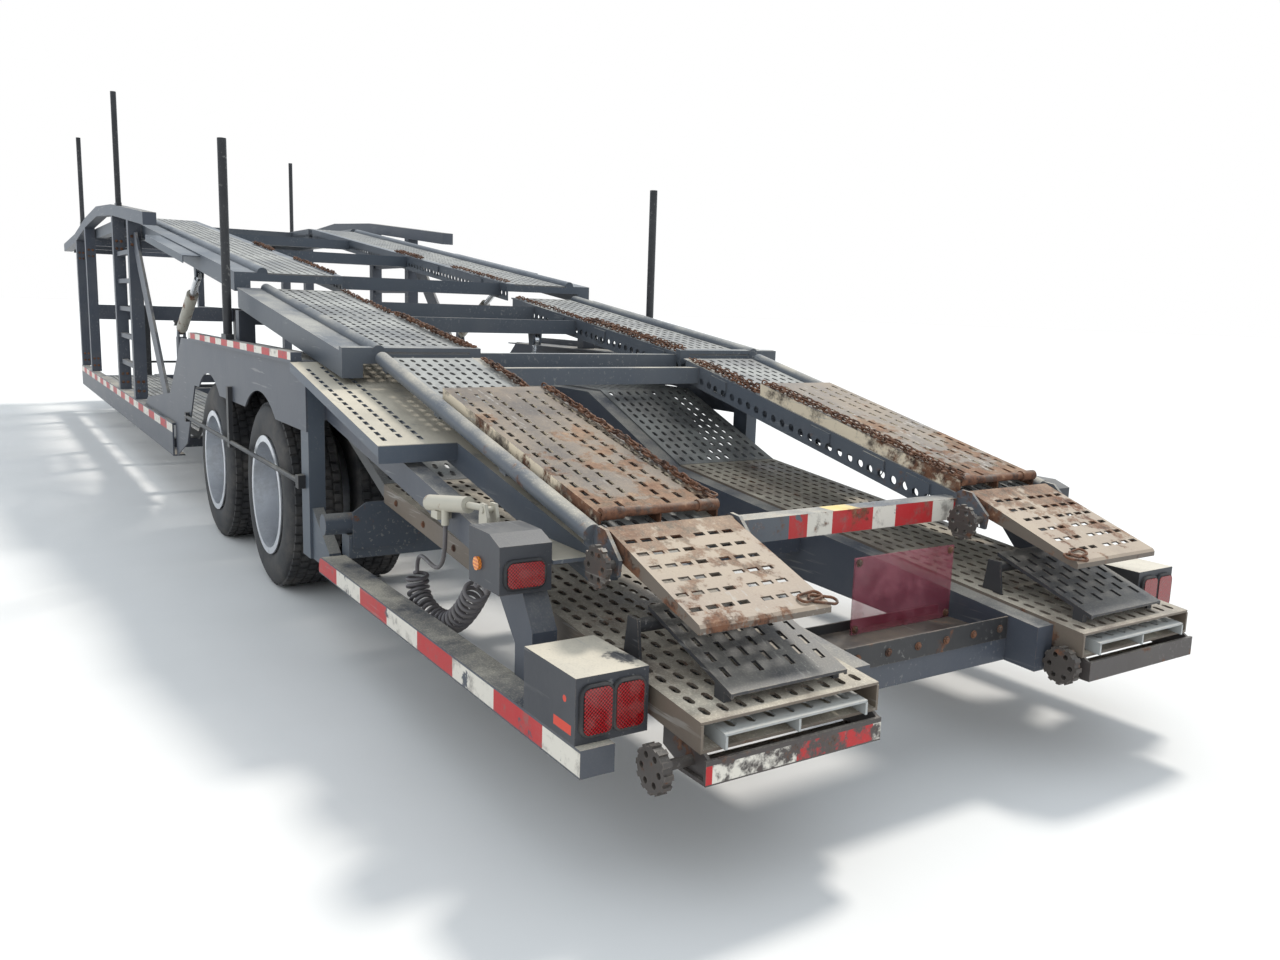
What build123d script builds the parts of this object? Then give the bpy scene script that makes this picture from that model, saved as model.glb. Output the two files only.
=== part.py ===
from build123d import *
from math import atan2, cos, hypot, pi, radians, sin, tan
import os

os.makedirs("parts", exist_ok=True)

# A car transporter semi-trailer: two perforated runways above two perforated runways, on a low frame
# with two dual-wheel axles. +X is forwards, +Y is left, +Z is up from the ground, in millimetres.
# Lengthwise places are stations, measured forwards from the rear end of the low side rails.

# Overall sizes
LENGTH = 14800.0
WIDTH = 2590.0
TAIL_OVERHANG = 200.0
HALF_WIDTH = WIDTH / 2
RAIL_END = -LENGTH / 2 + TAIL_OVERHANG
NOSE = LENGTH - TAIL_OVERHANG
CLEAR = 0.3

# Wheels and axles
TYRE_RADIUS = 475.0
TYRE_WIDTH = 280.0
TYRE_GAP = 50.0
RIM_RADIUS = 290.0
WHEEL_FACE_Y = 1250.0
AXLE_STATIONS = (("rear", 3370.0), ("front", 4680.0))
AXLE_RADIUS = 63.0
SPINDLE_RADIUS = 45.0
HUB_RADIUS = 112.0

# Main frame
BEAM_INNER_Y = 380.0
BEAM_OUTER_Y = 460.0
SILL_INNER_Y = 1215.0
SILL_BOTTOM = 330.0
SILL_TOP = 570.0
SILL_REAR = 5950.0
FRAME_FRONT = 12820.0
POST_OUTER_Y = 1290.0
POST_INNER_Y = 1190.0

# Lower runways
LOWER_OUTER_Y = 1060.0
PLATE = 8.0
HUMP_TOP = 1030.0
LOW_FLOOR = 460.0
TAIL_BOX_DEPTH = 80.0
FLANGE_DEPTH = 60.0
TAIL_TIP = (-174.0, 494.0)
TAIL_HEAD = (2100.0, 720.0)

# Upper runways
RUN_INNER_Y = 550.0
RUN_OUTER_Y = 1000.0
FLANGE_EDGE_Y = 605.0
CURB_Y = 1022.0
CURB_RADIUS = 30.0
BEARER_PITCH = 640.0
SIDE_BEAM_INNER_Y = 1090.0
SIDE_BEAM_OUTER_Y = 1180.0
WEB_DEPTH = 110.0
TAIL_DECK = ((430.0, 837.0), (2235.0, 1240.0))
REAR_DECK = ((2265.0, 1262.0), (4235.0, 1530.0))
MID_DECK = ((4300.0, 1620.0), (8970.0, 2194.0))
FRONT_DECK = ((9060.0, 2200.0), (NOSE - 40, 2200.0))

# Slots of the perforated plates
SLOT_ALONG = (42.0, 17.0)
SLOT_ACROSS = (18.0, 36.0)
SLOT_PITCH_X = 64.0

SIDES = (("left", 1), ("right", -1))


def st(station):
    """Lengthwise place of a station."""
    return RAIL_END + station


def across(side, inner, outer):
    """Low and high Y of a piece between two distances from the centre line."""
    return min(side * inner, side * outer), max(side * inner, side * outer)


def height_on(line, station):
    """Height at a station of the straight line between two (station, height) points."""
    (x0, z0), (x1, z1) = line
    return z0 + (z1 - z0) * (station - x0) / (x1 - x0)


def block(stations, y_range, z_range):
    """Square-edged bar between two stations, two Y and two Z values."""
    x0, x1 = st(stations[0]), st(stations[1])
    with BuildPart() as piece:
        with Locations(((x0 + x1) / 2, sum(y_range) / 2, sum(z_range) / 2)):
            Box(x1 - x0, y_range[1] - y_range[0], z_range[1] - z_range[0])
    return piece.part


def side_shape(outline, y_range):
    """Plate whose outline is drawn in side view as (station, height) points."""
    with BuildPart() as piece:
        with BuildSketch(Plane.XZ.offset(-y_range[1])):
            with BuildLine():
                Polyline(*[(st(x), z) for x, z in outline], close=True)
            make_face()
        extrude(amount=y_range[1] - y_range[0])
    return piece.part


def band(top_line, drop, depth, y_range):
    """Strip that follows a (station, height) line, its top face a drop below it."""
    upper = [(x, z - drop) for x, z in top_line]
    lower = [(x, z - drop - depth) for x, z in reversed(top_line)]
    return side_shape(upper + lower, y_range)


def rod(start, end, radius, bore=0.0):
    """Round bar or tube between two points given as (station, y, height)."""
    a = Vector(st(start[0]), start[1], start[2])
    b = Vector(st(end[0]), end[1], end[2])
    with BuildPart() as piece:
        with BuildSketch(Plane(origin=a, z_dir=b - a)):
            Circle(radius)
            if bore:
                Circle(bore, mode=Mode.SUBTRACT)
        extrude(amount=(b - a).length)
    return piece.part


def slots(line, station_range, rows_y, depth, size=SLOT_ALONG, stagger=0.5):
    """Cutter for rows of slots through a plate that follows a line, every second row staggered."""
    (x0, z0), (x1, z1) = line
    tilt = atan2(z1 - z0, x1 - x0)
    count = int((station_range[1] - station_range[0]) / SLOT_PITCH_X)
    middle = sum(station_range) / 2
    places = []
    for column, y in enumerate(rows_y):
        for row in range(count):
            x = station_range[0] + (row + 0.5 + stagger * (column % 2)) * SLOT_PITCH_X
            if x + size[0] / 2 <= station_range[1]:
                places.append(((x - middle) / cos(tilt), y))
    origin = (st(middle), 0, height_on(line, middle))
    plane = Plane(origin=origin, x_dir=(cos(tilt), 0, sin(tilt)), z_dir=(-sin(tilt), 0, cos(tilt)))
    with BuildPart() as cutter:
        with BuildSketch(plane):
            with Locations(*places):
                Rectangle(*size)
        extrude(amount=depth, both=True)
    return cutter.part


def save(piece, name):
    piece.part.label = name
    export_step(piece.part, f"parts/{name}.step")


# Main beams: two box beams that run low, climb over the axles and run low again to the front
BEAM_TOP = [(-60, 495), (2100, 710), (2900, 1020), (5250, 1020), (6300, 450), (FRAME_FRONT, 450)]
BEAM_BOTTOM = [(FRAME_FRONT, 330), (SILL_REAR, 330), (5200, 740), (2900, 740), (2300, 430), (-60, 345)]
with BuildPart() as main_beams:
    for word, side in SIDES:
        add(side_shape(BEAM_TOP + BEAM_BOTTOM, across(side, BEAM_INNER_Y, BEAM_OUTER_Y)))
save(main_beams, "main_beams")

# Cross members between the beams, and outriggers from the beams to the side sills
CROSS_MEMBERS = [
    # station, bottom, top
    (60, 350, 430),
    (1100, 500, 560),
    (2150, 500, 590),
    (2950, 780, 860),
    (3990, 780, 900),
    (5120, 780, 860),
    (6420, 340, 410),
    (7900, 340, 410),
    (9400, 340, 410),
    (10900, 340, 410),
    (12700, 340, 440),
]
OUTRIGGERS = (6400, 7900, 9400, 10900, 12700)
with BuildPart() as cross_members:
    for station, bottom, top in CROSS_MEMBERS:
        add(block((station, station + 100), (-BEAM_INNER_Y, BEAM_INNER_Y), (bottom, top)))
    for word, side in SIDES:
        for station in OUTRIGGERS:
            reach = across(side, BEAM_OUTER_Y, SILL_INNER_Y)
            add(block((station, station + 100), reach, (SILL_BOTTOM, LOW_FLOOR - FLANGE_DEPTH)))
save(cross_members, "cross_members")

# Side sills of the low front frame, open channels with their flanges inwards
with BuildPart() as side_sills:
    for word, side in SIDES:
        y0, y1 = across(side, SILL_INNER_Y, HALF_WIDTH)
        web = across(side, HALF_WIDTH - 10, HALF_WIDTH)
        add(block((SILL_REAR, FRAME_FRONT), web, (SILL_BOTTOM, SILL_TOP)))
        add(block((SILL_REAR, FRAME_FRONT), (y0, y1), (SILL_BOTTOM, SILL_BOTTOM + 10)))
        add(block((SILL_REAR, FRAME_FRONT), (y0, y1), (SILL_TOP - 10, SILL_TOP)))
save(side_sills, "side_sills")

# Low rear rails, rounded at the front and cut back to a shoe at the rear
RAIL_TOP = 405.0
RAIL_INNER_Y = 1195.0
RAIL_FRONT = 2250.0
with BuildPart() as low_rails:
    for word, side in SIDES:
        add(block((0, RAIL_FRONT), across(side, RAIL_INNER_Y, HALF_WIDTH), (SILL_BOTTOM, RAIL_TOP)))
    fillet(low_rails.edges().filter_by(Axis.Y).group_by(Axis.X)[-1].group_by(Axis.Z)[-1], radius=50)
save(low_rails, "low_rails")

# Posts behind the rear wheels, with a gusset down to the rail, and the rear cross beams
POST_REAR = 2500.0
SLOPE = ((1480.0, 970.0), (2655.0, 1198.0))
SLOPE_INNER_Y = 995.0
SLOPE_BEAM_INNER_Y = 900.0
SLOPE_BEAM_REAR = 480.0
PANEL_INNER_Y = 1262.0
PANEL_OUTER_Y = 1270.0
with BuildPart() as rear_posts:
    for word, side in SIDES:
        under_slope = [(x, height_on(SLOPE, x) - PLATE) for x in (POST_REAR, POST_REAR + 120)]
        column = under_slope + [(POST_REAR + 120, SILL_BOTTOM), (POST_REAR, SILL_BOTTOM)]
        add(side_shape(column, across(side, POST_INNER_Y, PANEL_INNER_Y)))
        foot = [(POST_REAR, 330), (POST_REAR, 560), (RAIL_FRONT, RAIL_TOP), (RAIL_FRONT, 330)]
        add(side_shape(foot, across(side, 1200, 1250)))
        add(block((2150, 2250), across(side, BEAM_OUTER_Y, RAIL_INNER_Y), (400, 500)))
        add(block((2500, 2580), across(side, SLOPE_INNER_Y, POST_INNER_Y), (1075, 1155)))
save(rear_posts, "rear_posts")

# Fenders: top tube, side plate cut round the two wheels, top sheet and slotted rear slope
FENDER_TOP = 1240.0
SHEET_TOP = 1200.0
FENDER_REAR, FENDER_FRONT = 2660.0, 5200.0
ARCH_RADIUS = TYRE_RADIUS + 60
with BuildPart() as fenders:
    for word, side in SIDES:
        plate_y = across(side, PANEL_INNER_Y, PANEL_OUTER_Y)
        panel = [
            (POST_REAR, 1155), (FENDER_REAR, 1186), (FENDER_REAR, 1190), (5600, 1190), (6150, 770),
            (7300, 640), (7450, 570), (SILL_REAR, 570), (SILL_REAR, 330), (5500, 480), (5150, 900),
            (POST_REAR, 900),
        ]
        add(side_shape(panel, plate_y))
        for name, station in AXLE_STATIONS:
            ends = [(station, y, TYRE_RADIUS) for y in (plate_y[0] - 5, plate_y[1] + 5)]
            arch = rod(*ends, ARCH_RADIUS)
            add(arch, mode=Mode.SUBTRACT)
        add(block((FENDER_REAR, FENDER_FRONT), across(side, 1240, 1290), (1190, FENDER_TOP)))
        sheet_y = across(side, SLOPE_INNER_Y, 1240)
        add(block((FENDER_REAR, FENDER_FRONT), sheet_y, (SHEET_TOP - PLATE, SHEET_TOP)))
save(fenders, "fenders")
with BuildPart() as fender_slopes:
    for word, side in SIDES:
        add(band(SLOPE, 0, PLATE, across(side, SLOPE_INNER_Y, HALF_WIDTH)))
        add(band(SLOPE, PLATE, 34, across(side, HALF_WIDTH - 6, HALF_WIDTH)))
        add(block((1474, 1480), across(side, SLOPE_INNER_Y, HALF_WIDTH), (905, 969)))
        tread = [(x, height_on(SLOPE, x)) for x in (SLOPE_BEAM_REAR, SLOPE[1][0])]
        add(band(tread, 0, 100, across(side, SLOPE_BEAM_INNER_Y, SLOPE_INNER_Y)))
        shelf = height_on(SLOPE, SLOPE_BEAM_REAR) - 30
        with BuildSketch(Plane.XY.offset(shelf)):
            with BuildLine():
                corners = [(480, 995), (860, 995), (600, 1120), (480, 1120)]
                Polyline(*[(st(x), side * y) for x, y in corners], close=True)
            make_face()
        extrude(amount=12)
        columns = [side * y for y in (1110, 1180, 1250)]
        add(slots(SLOPE, (1520, 2600), columns, 12), mode=Mode.SUBTRACT)
save(fender_slopes, "fender_slopes")

# Round guard bars outside the wheels, on three brackets
GUARD_Y = 1283.0
GUARD_HEIGHT = 670.0
GUARD_BRACKETS = [
    # station, inner face, top
    (2580, PANEL_INNER_Y, 700),
    (4025, PANEL_OUTER_Y, 980),
    (5400, PANEL_OUTER_Y, 700),
]
with BuildPart() as wheel_guards:
    for word, side in SIDES:
        add(rod((2560, side * GUARD_Y, GUARD_HEIGHT), (5450, side * GUARD_Y, GUARD_HEIGHT), 12))
        for station, inner, top in GUARD_BRACKETS:
            add(block((station - 25, station + 25), across(side, inner, HALF_WIDTH), (640, top)))
save(wheel_guards, "wheel_guards")

# Lower runways, pressed plates with turned-down edges: low at the front, over the axles, down to the tail
LOWER_LINE = [TAIL_HEAD, (2900, HUMP_TOP), (5250, HUMP_TOP), (6300, LOW_FLOOR), (12480, LOW_FLOOR)]
with BuildPart() as lower_runways:
    for word, side in SIDES:
        add(band(LOWER_LINE, 0, PLATE, across(side, BEAM_OUTER_Y, LOWER_OUTER_Y)))
        add(band(LOWER_LINE, 0, FLANGE_DEPTH, across(side, BEAM_OUTER_Y, BEAM_OUTER_Y + PLATE)))
        add(band(LOWER_LINE, 0, FLANGE_DEPTH, across(side, LOWER_OUTER_Y - PLATE, LOWER_OUTER_Y)))
save(lower_runways, "lower_runways")

# Lower tail runways, boxes open at the rear that hold the stowed loading ramps
TAIL_LINE = (TAIL_TIP, TAIL_HEAD)
with BuildPart() as lower_tails:
    for word, side in SIDES:
        inner, outer = BEAM_OUTER_Y, LOWER_OUTER_Y
        add(band(TAIL_LINE, 0, TAIL_BOX_DEPTH, across(side, inner, inner + PLATE)))
        add(band(TAIL_LINE, 0, TAIL_BOX_DEPTH, across(side, outer - PLATE, outer)))
        add(band(TAIL_LINE, 0, PLATE, across(side, inner, outer)))
        add(band(TAIL_LINE, TAIL_BOX_DEPTH - PLATE, PLATE, across(side, inner, outer)))
save(lower_tails, "lower_tails")

# Loading ramps, stowed inside the tail boxes and drawn out to the rear
RAMP_DEPTH = 40.0
RAMP_REAR, RAMP_FRONT = -195.0, 1800.0
RAMP_DROP = TAIL_BOX_DEPTH - PLATE - RAMP_DEPTH - CLEAR
for word, side in SIDES:
    with BuildPart() as ramp:
        line = [(x, height_on(TAIL_LINE, x)) for x in (RAMP_REAR, RAMP_FRONT)]
        add(band(line, RAMP_DROP, 6, across(side, 520, 1000)))
        add(band(line, RAMP_DROP, RAMP_DEPTH, across(side, 520, 528)))
        add(band(line, RAMP_DROP, RAMP_DEPTH, across(side, 992, 1000)))
        add(band(line, RAMP_DROP, RAMP_DEPTH, across(side, 756, 764)))
    save(ramp, f"loading_ramp_{word}")

# Tail bumpers, bent plates hung below the tail boxes on gussets
TAIL_UNDERSIDE = [(x, height_on(TAIL_LINE, x) - TAIL_BOX_DEPTH) for x in (-174, 0)]
BUMPER_BOTTOM = 340.0
BUMPER_TOP = 405.0
with BuildPart() as tail_bumpers:
    for word, side in SIDES:
        add(block((-TAIL_OVERHANG, -190), across(side, 470, LOWER_OUTER_Y), (BUMPER_BOTTOM, BUMPER_TOP)))
        add(block((-190, -70), across(side, 470, LOWER_OUTER_Y), (BUMPER_BOTTOM, BUMPER_BOTTOM + 10)))
        top = [(-190, BUMPER_TOP), (-174, TAIL_UNDERSIDE[0][1]), TAIL_UNDERSIDE[1]]
        gusset = top + [(0, BUMPER_BOTTOM + 35), (-70, BUMPER_BOTTOM + 10), (-190, BUMPER_BOTTOM + 10)]
        add(side_shape(gusset, across(side, 470, 480)))
        add(side_shape(gusset, across(side, LOWER_OUTER_Y - 20, LOWER_OUTER_Y - 10)))
save(tail_bumpers, "tail_bumpers")

# Bridge plates from the lower tail up to the flip ramps, on round bars with side brackets
BRIDGE = ((-137, 534), (250, 664))
BRIDGE_BAR = (225.0, 618.0, 20.0)
with BuildPart() as bridge_plates:
    for word, side in SIDES:
        add(band(BRIDGE, 0, PLATE, across(side, 547, 943)))
        add(band(BRIDGE, 0, 14, across(side, 547, 555)))
        add(band(BRIDGE, 0, 14, across(side, 935, 943)))
        leg = (BRIDGE[0][0] + 30, BRIDGE[0][0] + 70)
        foot = [(x, height_on(TAIL_LINE, x)) for x in leg]
        foot += [(x, height_on(BRIDGE, x) - PLATE / 2) for x in reversed(leg)]
        for inner, outer in ((547, 568), (918, 943)):
            add(side_shape(foot, across(side, inner, outer)))
        columns = [side * (580 + 54 * i) for i in range(7)]
        add(slots(BRIDGE, (-90, 240), columns, 12), mode=Mode.SUBTRACT)
        station, height, radius = BRIDGE_BAR
        add(rod((station, side * 500, height), (station, side * 1010, height), radius))
        for y in (500, 1000):
            cheek = [(x, height_on(TAIL_LINE, x)) for x in (station - 40, station + 40)]
            cheek += [(station + 25, height + 26), (station - 25, height + 26)]
            add(side_shape(cheek, across(side, y, y + 10)))
save(bridge_plates, "bridge_plates")

# Tray on the rear bumper tube, and the red panel that stands in it
TRAY_FLOOR = 438.0
with BuildPart() as tray:
    add(block((50, 350), (-370, 370), (430, TRAY_FLOOR)))
    add(block((50, 56), (-370, 370), (TRAY_FLOOR, 505)))
    add(block((344, 350), (-370, 370), (TRAY_FLOOR, 470)))
save(tray, "rear_tray")
with BuildPart() as red_panel:
    add(block((296, 302), (-368, 105), (TRAY_FLOOR, 698)))
save(red_panel, "red_panel")

# Arms that carry the high lamp boxes, and the brackets under them on the low rails
HIGH_BOX = (490, 700, 670, 835)
with BuildPart() as lamp_arms:
    for word, side in SIDES:
        arm = [(POST_REAR, 1065), (940, 790), (700, 745), (700, 680), (940, 700), (POST_REAR, 950)]
        add(side_shape(arm, across(side, 1110, 1180)))
        add(block((POST_REAR, POST_REAR + 60), across(side, 1110, POST_INNER_Y), (950, 1065)))
        bracket = [(450, 405), (560, 405), (560, 500), (690, 640), (690, 670), (520, 670), (450, 560)]
        add(side_shape(bracket, across(side, 1120, 1200)))
        add(block((785, 845), across(side, 1140, 1190), (755, 775)))
save(lamp_arms, "lamp_arms")

# Lamp boxes: low ones on the rail ends, high ones on the arms
with BuildPart() as lamp_boxes:
    for word, side in SIDES:
        add(block((30, 310), across(side, 1080, 1295), (RAIL_TOP, 580)))
        x0, x1, z0, z1 = HIGH_BOX
        shell = [(x0, z0), (x1, z0), (x1, z1), (x0 + 70, z1), (x0, z1 - 25)]
        add(side_shape(shell, across(side, 1120, 1285)))
save(lamp_boxes, "lamp_boxes")
LENSES = [
    # station of the rear face, inner Y, outer Y, bottom, top
    (30, 1102, 1182, 432, 552),
    (30, 1196, 1276, 432, 552),
    (490, 1150, 1265, 690, 762),
]
with BuildPart() as red_lenses:
    for word, side in SIDES:
        for station, inner, outer, bottom, top in LENSES:
            y0, y1 = across(side, inner, outer)
            with BuildSketch(Plane.YZ.offset(st(station - 14))):
                with Locations(((y0 + y1) / 2, (bottom + top) / 2)):
                    RectangleRounded(outer - inner, top - bottom, 16)
            extrude(amount=14)
save(red_lenses, "red_lenses")
with BuildPart() as amber_lenses:
    for word, side in SIDES:
        y = side * 1285
        add(rod((630, y, 735), (630, side * 1295, 735), 20))
save(amber_lenses, "amber_lenses")

# Wheels: dual tyres on a deep-dished rim, turning on the axle ends
def wheel_profile(station, points):
    """Ring about an axle, from (y, radius) points."""
    centre = Vector(st(station), 0, TYRE_RADIUS)
    with BuildPart() as ring:
        with BuildSketch(Plane(origin=centre, x_dir=(0, 1, 0), z_dir=(1, 0, 0))):
            with BuildLine():
                Polyline(*points, close=True)
            make_face()
        revolve(axis=Axis(centre, (0, 1, 0)))
    return ring.part


def tyre_outline(side, inner_y):
    middle = inner_y + TYRE_WIDTH / 2
    half = TYRE_WIDTH / 2
    bead = RIM_RADIUS + CLEAR
    right = [(118, bead), (half, 370), (half - 4, 432), (half - 26, TYRE_RADIUS)]
    outline = right + [(-y, r) for y, r in reversed(right)]
    return [(side * (middle + y), r) for y, r in outline]


OUTER_TYRE_Y = WHEEL_FACE_Y - TYRE_WIDTH
INNER_TYRE_Y = OUTER_TYRE_Y - TYRE_GAP - TYRE_WIDTH
HUB_CAP_Y = 1150.0
for axle, station in AXLE_STATIONS:
    for word, side in SIDES:
        with BuildPart() as tyres:
            add(wheel_profile(station, tyre_outline(side, OUTER_TYRE_Y)))
            add(wheel_profile(station, tyre_outline(side, INNER_TYRE_Y)))
        save(tyres, f"tyres_{axle}_{word}")
        with BuildPart() as rims:
            outline = [
                (646, RIM_RADIUS), (1242, RIM_RADIUS), (1242, 306), (1249, 306), (1249, 274), (972, 262),
                (972, HUB_RADIUS), (1100, HUB_RADIUS), (1100, 84), (HUB_CAP_Y + 12, 60), (HUB_CAP_Y + 12, 0),
                (HUB_CAP_Y, 0), (HUB_CAP_Y, SPINDLE_RADIUS + CLEAR), (640, SPINDLE_RADIUS + CLEAR),
                (640, 205), (780, 205), (780, HUB_RADIUS), (944, HUB_RADIUS), (944, 262), (646, 274),
            ]
            add(wheel_profile(station, [(side * y, r) for y, r in outline]))
            for spot in range(10):
                turn = radians(36 * spot)
                x, z = station + 205 * sin(turn), TYRE_RADIUS + 205 * cos(turn)
                add(rod((x, side * 930, z), (x, side * 990, z), 27), mode=Mode.SUBTRACT)
        save(rims, f"rims_{axle}_{word}")

# Axles
with BuildPart() as axles:
    for axle, station in AXLE_STATIONS:
        add(rod((station, -625, TYRE_RADIUS), (station, 625, TYRE_RADIUS), AXLE_RADIUS))
        add(rod((station, -1140, TYRE_RADIUS), (station, 1140, TYRE_RADIUS), SPINDLE_RADIUS))
save(axles, "axles")

# Suspension: hangers, trailing arms over the axles and air springs under the beams
with BuildPart() as suspension:
    for axle, station in AXLE_STATIONS:
        for word, side in SIDES:
            y = across(side, 385, 455)
            arm = [
                (station - 560, 560), (station - 560, 600), (station + 480, 640), (station + 480, 560),
                (station + 90, 540), (station + 90, 470), (station - 90, 470), (station - 90, 540),
            ]
            add(side_shape(arm, y))
            add(block((station + 400, station + 500), across(side, 385, 455), (600, 740)))
            add(rod((station - 470, side * 420, 595), (station - 470, side * 420, 600), 30))
            ends = [(station, side * y, TYRE_RADIUS) for y in (BEAM_INNER_Y, BEAM_OUTER_Y)]
            seat = rod(*ends, AXLE_RADIUS + CLEAR)
            add(seat, mode=Mode.SUBTRACT)
save(suspension, "suspension")

# Tower and front posts, standing on the sills, with the arched side rails on top of them
TOP_LINE = [(7000, 2110), (9050, 2300), (10300, 2360), (11500, 2310), (12900, 2190), (NOSE, 2130)]
TOP_RAIL_DEPTH = 100.0


def rail_height(station):
    """Height of the top of the arched side rail at a station."""
    for start, end in zip(TOP_LINE, TOP_LINE[1:]):
        if start[0] <= station <= end[0]:
            return height_on((start, end), station)


POSTS = [
    # station of the rear face, length along the trailer
    (7880, 100),
    (8950, 100),
    (11560, 120),
    (12700, 120),
]
HEADER_BOTTOM, HEADER_TOP = 2010.0, 2090.0
with BuildPart() as towers:
    for word, side in SIDES:
        y = across(side, POST_INNER_Y, POST_OUTER_Y)
        for station, length in POSTS:
            ends = (station, station + length)
            top = [(x, rail_height(x) - TOP_RAIL_DEPTH) for x in ends]
            add(side_shape(top + [(ends[1], SILL_TOP), (ends[0], SILL_TOP)], y))
        for rung in range(5):
            z = 820 + 250 * rung
            add(block((7980, 8950), across(side, 1215, 1265), (z, z + 40)))
        brace = [(7880, 1990), (7880, 1840), (6450, 570), (6300, 570), (6300, 640), (7780, 1990)]
        add(side_shape(brace, across(side, 1230, 1250)))
save(towers, "towers")
with BuildPart() as top_rails:
    for word, side in SIDES:
        add(band(TOP_LINE, 0, TOP_RAIL_DEPTH, across(side, POST_INNER_Y, POST_OUTER_Y)))
save(top_rails, "top_rails")

# Poles with foot plates: one on each fender, two on the left top rail and one on the right
POLE_RADIUS = 24.0
POLES = [
    # side, station, height of the pole's head above what it stands on
    (1, 4090, 1085),
    (1, 8650, 997),
    (1, 12060, 987),
    (-1, 3650, 995),
    (-1, 12490, 1030),
]
POLE_Y = 1266.0
POLE_FOOT = 120.0
LID = 30.0
with BuildPart() as poles:
    for side, station, length in POLES:
        foot = (station - POLE_FOOT / 2, station + POLE_FOOT / 2)
        if station < FENDER_FRONT:
            base = [(x, FENDER_TOP) for x in foot]
        else:
            base = [(x, rail_height(x)) for x in foot]
        lid = base[0][1] + LID
        add(side_shape(base + [(foot[1], lid), (foot[0], lid)], across(side, 1245, POST_OUTER_Y)))
        add(rod((station, side * POLE_Y, lid), (station, side * POLE_Y, lid + length - LID), POLE_RADIUS))
save(poles, "poles")

# Gooseneck: cross beam, two beams forward, coupler plate, front posts, and the headers of the front deck
NECK_BOTTOM, NECK_TOP = 1150.0, 1330.0
NECK_FRONT = NOSE - 180
KINGPIN_STATION = 13900.0
KINGPIN_SHANK = 36.5
COUPLER_PLATE = 12.0
HEADERS = (8950, 11560, 12700, NECK_FRONT - 120)
HEADER_WIDTH = 100.0
with BuildPart() as gooseneck:
    add(block((12700, FRAME_FRONT), (-POST_INNER_Y, POST_INNER_Y), (NECK_BOTTOM, NECK_TOP)))
    for word, side in SIDES:
        y = across(side, BEAM_INNER_Y, BEAM_OUTER_Y)
        add(block((FRAME_FRONT, NECK_FRONT), y, (NECK_BOTTOM, NECK_TOP)))
        add(block((NECK_FRONT - 120, NECK_FRONT), y, (NECK_TOP, HEADER_BOTTOM)))
    add(block((13300, NECK_FRONT), (-BEAM_OUTER_Y, BEAM_OUTER_Y), (NECK_BOTTOM - COUPLER_PLATE, NECK_BOTTOM)))
    seat = [(KINGPIN_STATION, 0, NECK_BOTTOM + z) for z in (-COUPLER_PLATE, 0)]
    add(rod(*seat, KINGPIN_SHANK + CLEAR), mode=Mode.SUBTRACT)
    for station in HEADERS:
        reach = (-POST_INNER_Y, POST_INNER_Y)
        add(block((station, station + HEADER_WIDTH), reach, (HEADER_BOTTOM, HEADER_TOP)))
save(gooseneck, "gooseneck")

# Kingpin, hung through the coupler plate
KINGPIN = [
    # radius, top, bottom, measured down from the underside of the coupler plate
    (60.0, -COUPLER_PLATE - 10, -COUPLER_PLATE),
    (KINGPIN_SHANK, -COUPLER_PLATE, 35),
    (25.4, 35, 70),
    (35.7, 70, 84),
]
with BuildPart() as kingpin:
    for radius, top, bottom in KINGPIN:
        plate_z = NECK_BOTTOM - COUPLER_PLATE
        add(rod((KINGPIN_STATION, 0, plate_z - bottom), (KINGPIN_STATION, 0, plate_z - top), radius))
save(kingpin, "kingpin")

# Landing legs with their feet on the ground
with BuildPart() as landing_legs:
    for word, side in SIDES:
        add(block((12560, 12700), across(side, 520, 660), (250, NECK_TOP)))
        add(block((12580, 12680), across(side, 540, 640), (20, 250)))
        add(block((12500, 12760), across(side, 460, 720), (0, 20)))
    add(rod((12630, -520, 620), (12630, 520, 620), 14))
    add(block((12610, 12650), (-520, 520), (270, 320)))
save(landing_legs, "landing_legs")


def deck_frame(line, beam_inner, beam_outer, web_ends):
    """Frame of two upper runways: inner channels, bearers, domed curb tubes and outer beams."""
    low, high = web_ends
    ends = [(x, height_on(line, x)) for x in (low, high)]
    with BuildPart() as pair:
        for word, side in SIDES:
            add(band(line, 0, PLATE, across(side, RUN_INNER_Y, FLANGE_EDGE_Y)))
            add(band(ends, 0, WEB_DEPTH, across(side, RUN_INNER_Y, RUN_INNER_Y + PLATE)))
            add(band(line, 0, PLATE, across(side, RUN_OUTER_Y, beam_outer)))
            if beam_inner < beam_outer:
                add(band(ends, 0, WEB_DEPTH, across(side, beam_inner, beam_outer)))
            count = int((high - low - 90) / BEARER_PITCH) + 1
            for i in range(count + 1):
                at = low + (high - low - 50) * i / count
                bearer = [(x, height_on(line, x)) for x in (at, at + 50)]
                add(band(bearer, PLATE, 42, across(side, RUN_INNER_Y, beam_outer)))
            start, end = [(x, side * CURB_Y, z) for x, z in ends]
            add(rod(start, end, CURB_RADIUS))
            with Locations((st(end[0]), end[1], end[2])):
                Sphere(CURB_RADIUS)
    return pair.part


def deck_plates(line):
    """Flat tread plates between the inner flanges and the curb tubes of two upper runways."""
    with BuildPart() as pair:
        for word, side in SIDES:
            add(band(line, 0, PLATE, across(side, FLANGE_EDGE_Y, CURB_Y - CURB_RADIUS - 2)))
    return pair


def inner_tabs(line, stations):
    """Rounded tabs that stiffen the inner channels and keep the chains off them."""
    with BuildPart() as tabs:
        for word, side in SIDES:
            for low in stations:
                outline = [(low + x, height_on(line, low + x) - drop) for x, drop in TAB_OUTLINE]
                add(side_shape(outline, across(side, RUN_INNER_Y - PLATE, RUN_INNER_Y)))
    return tabs.part


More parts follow.
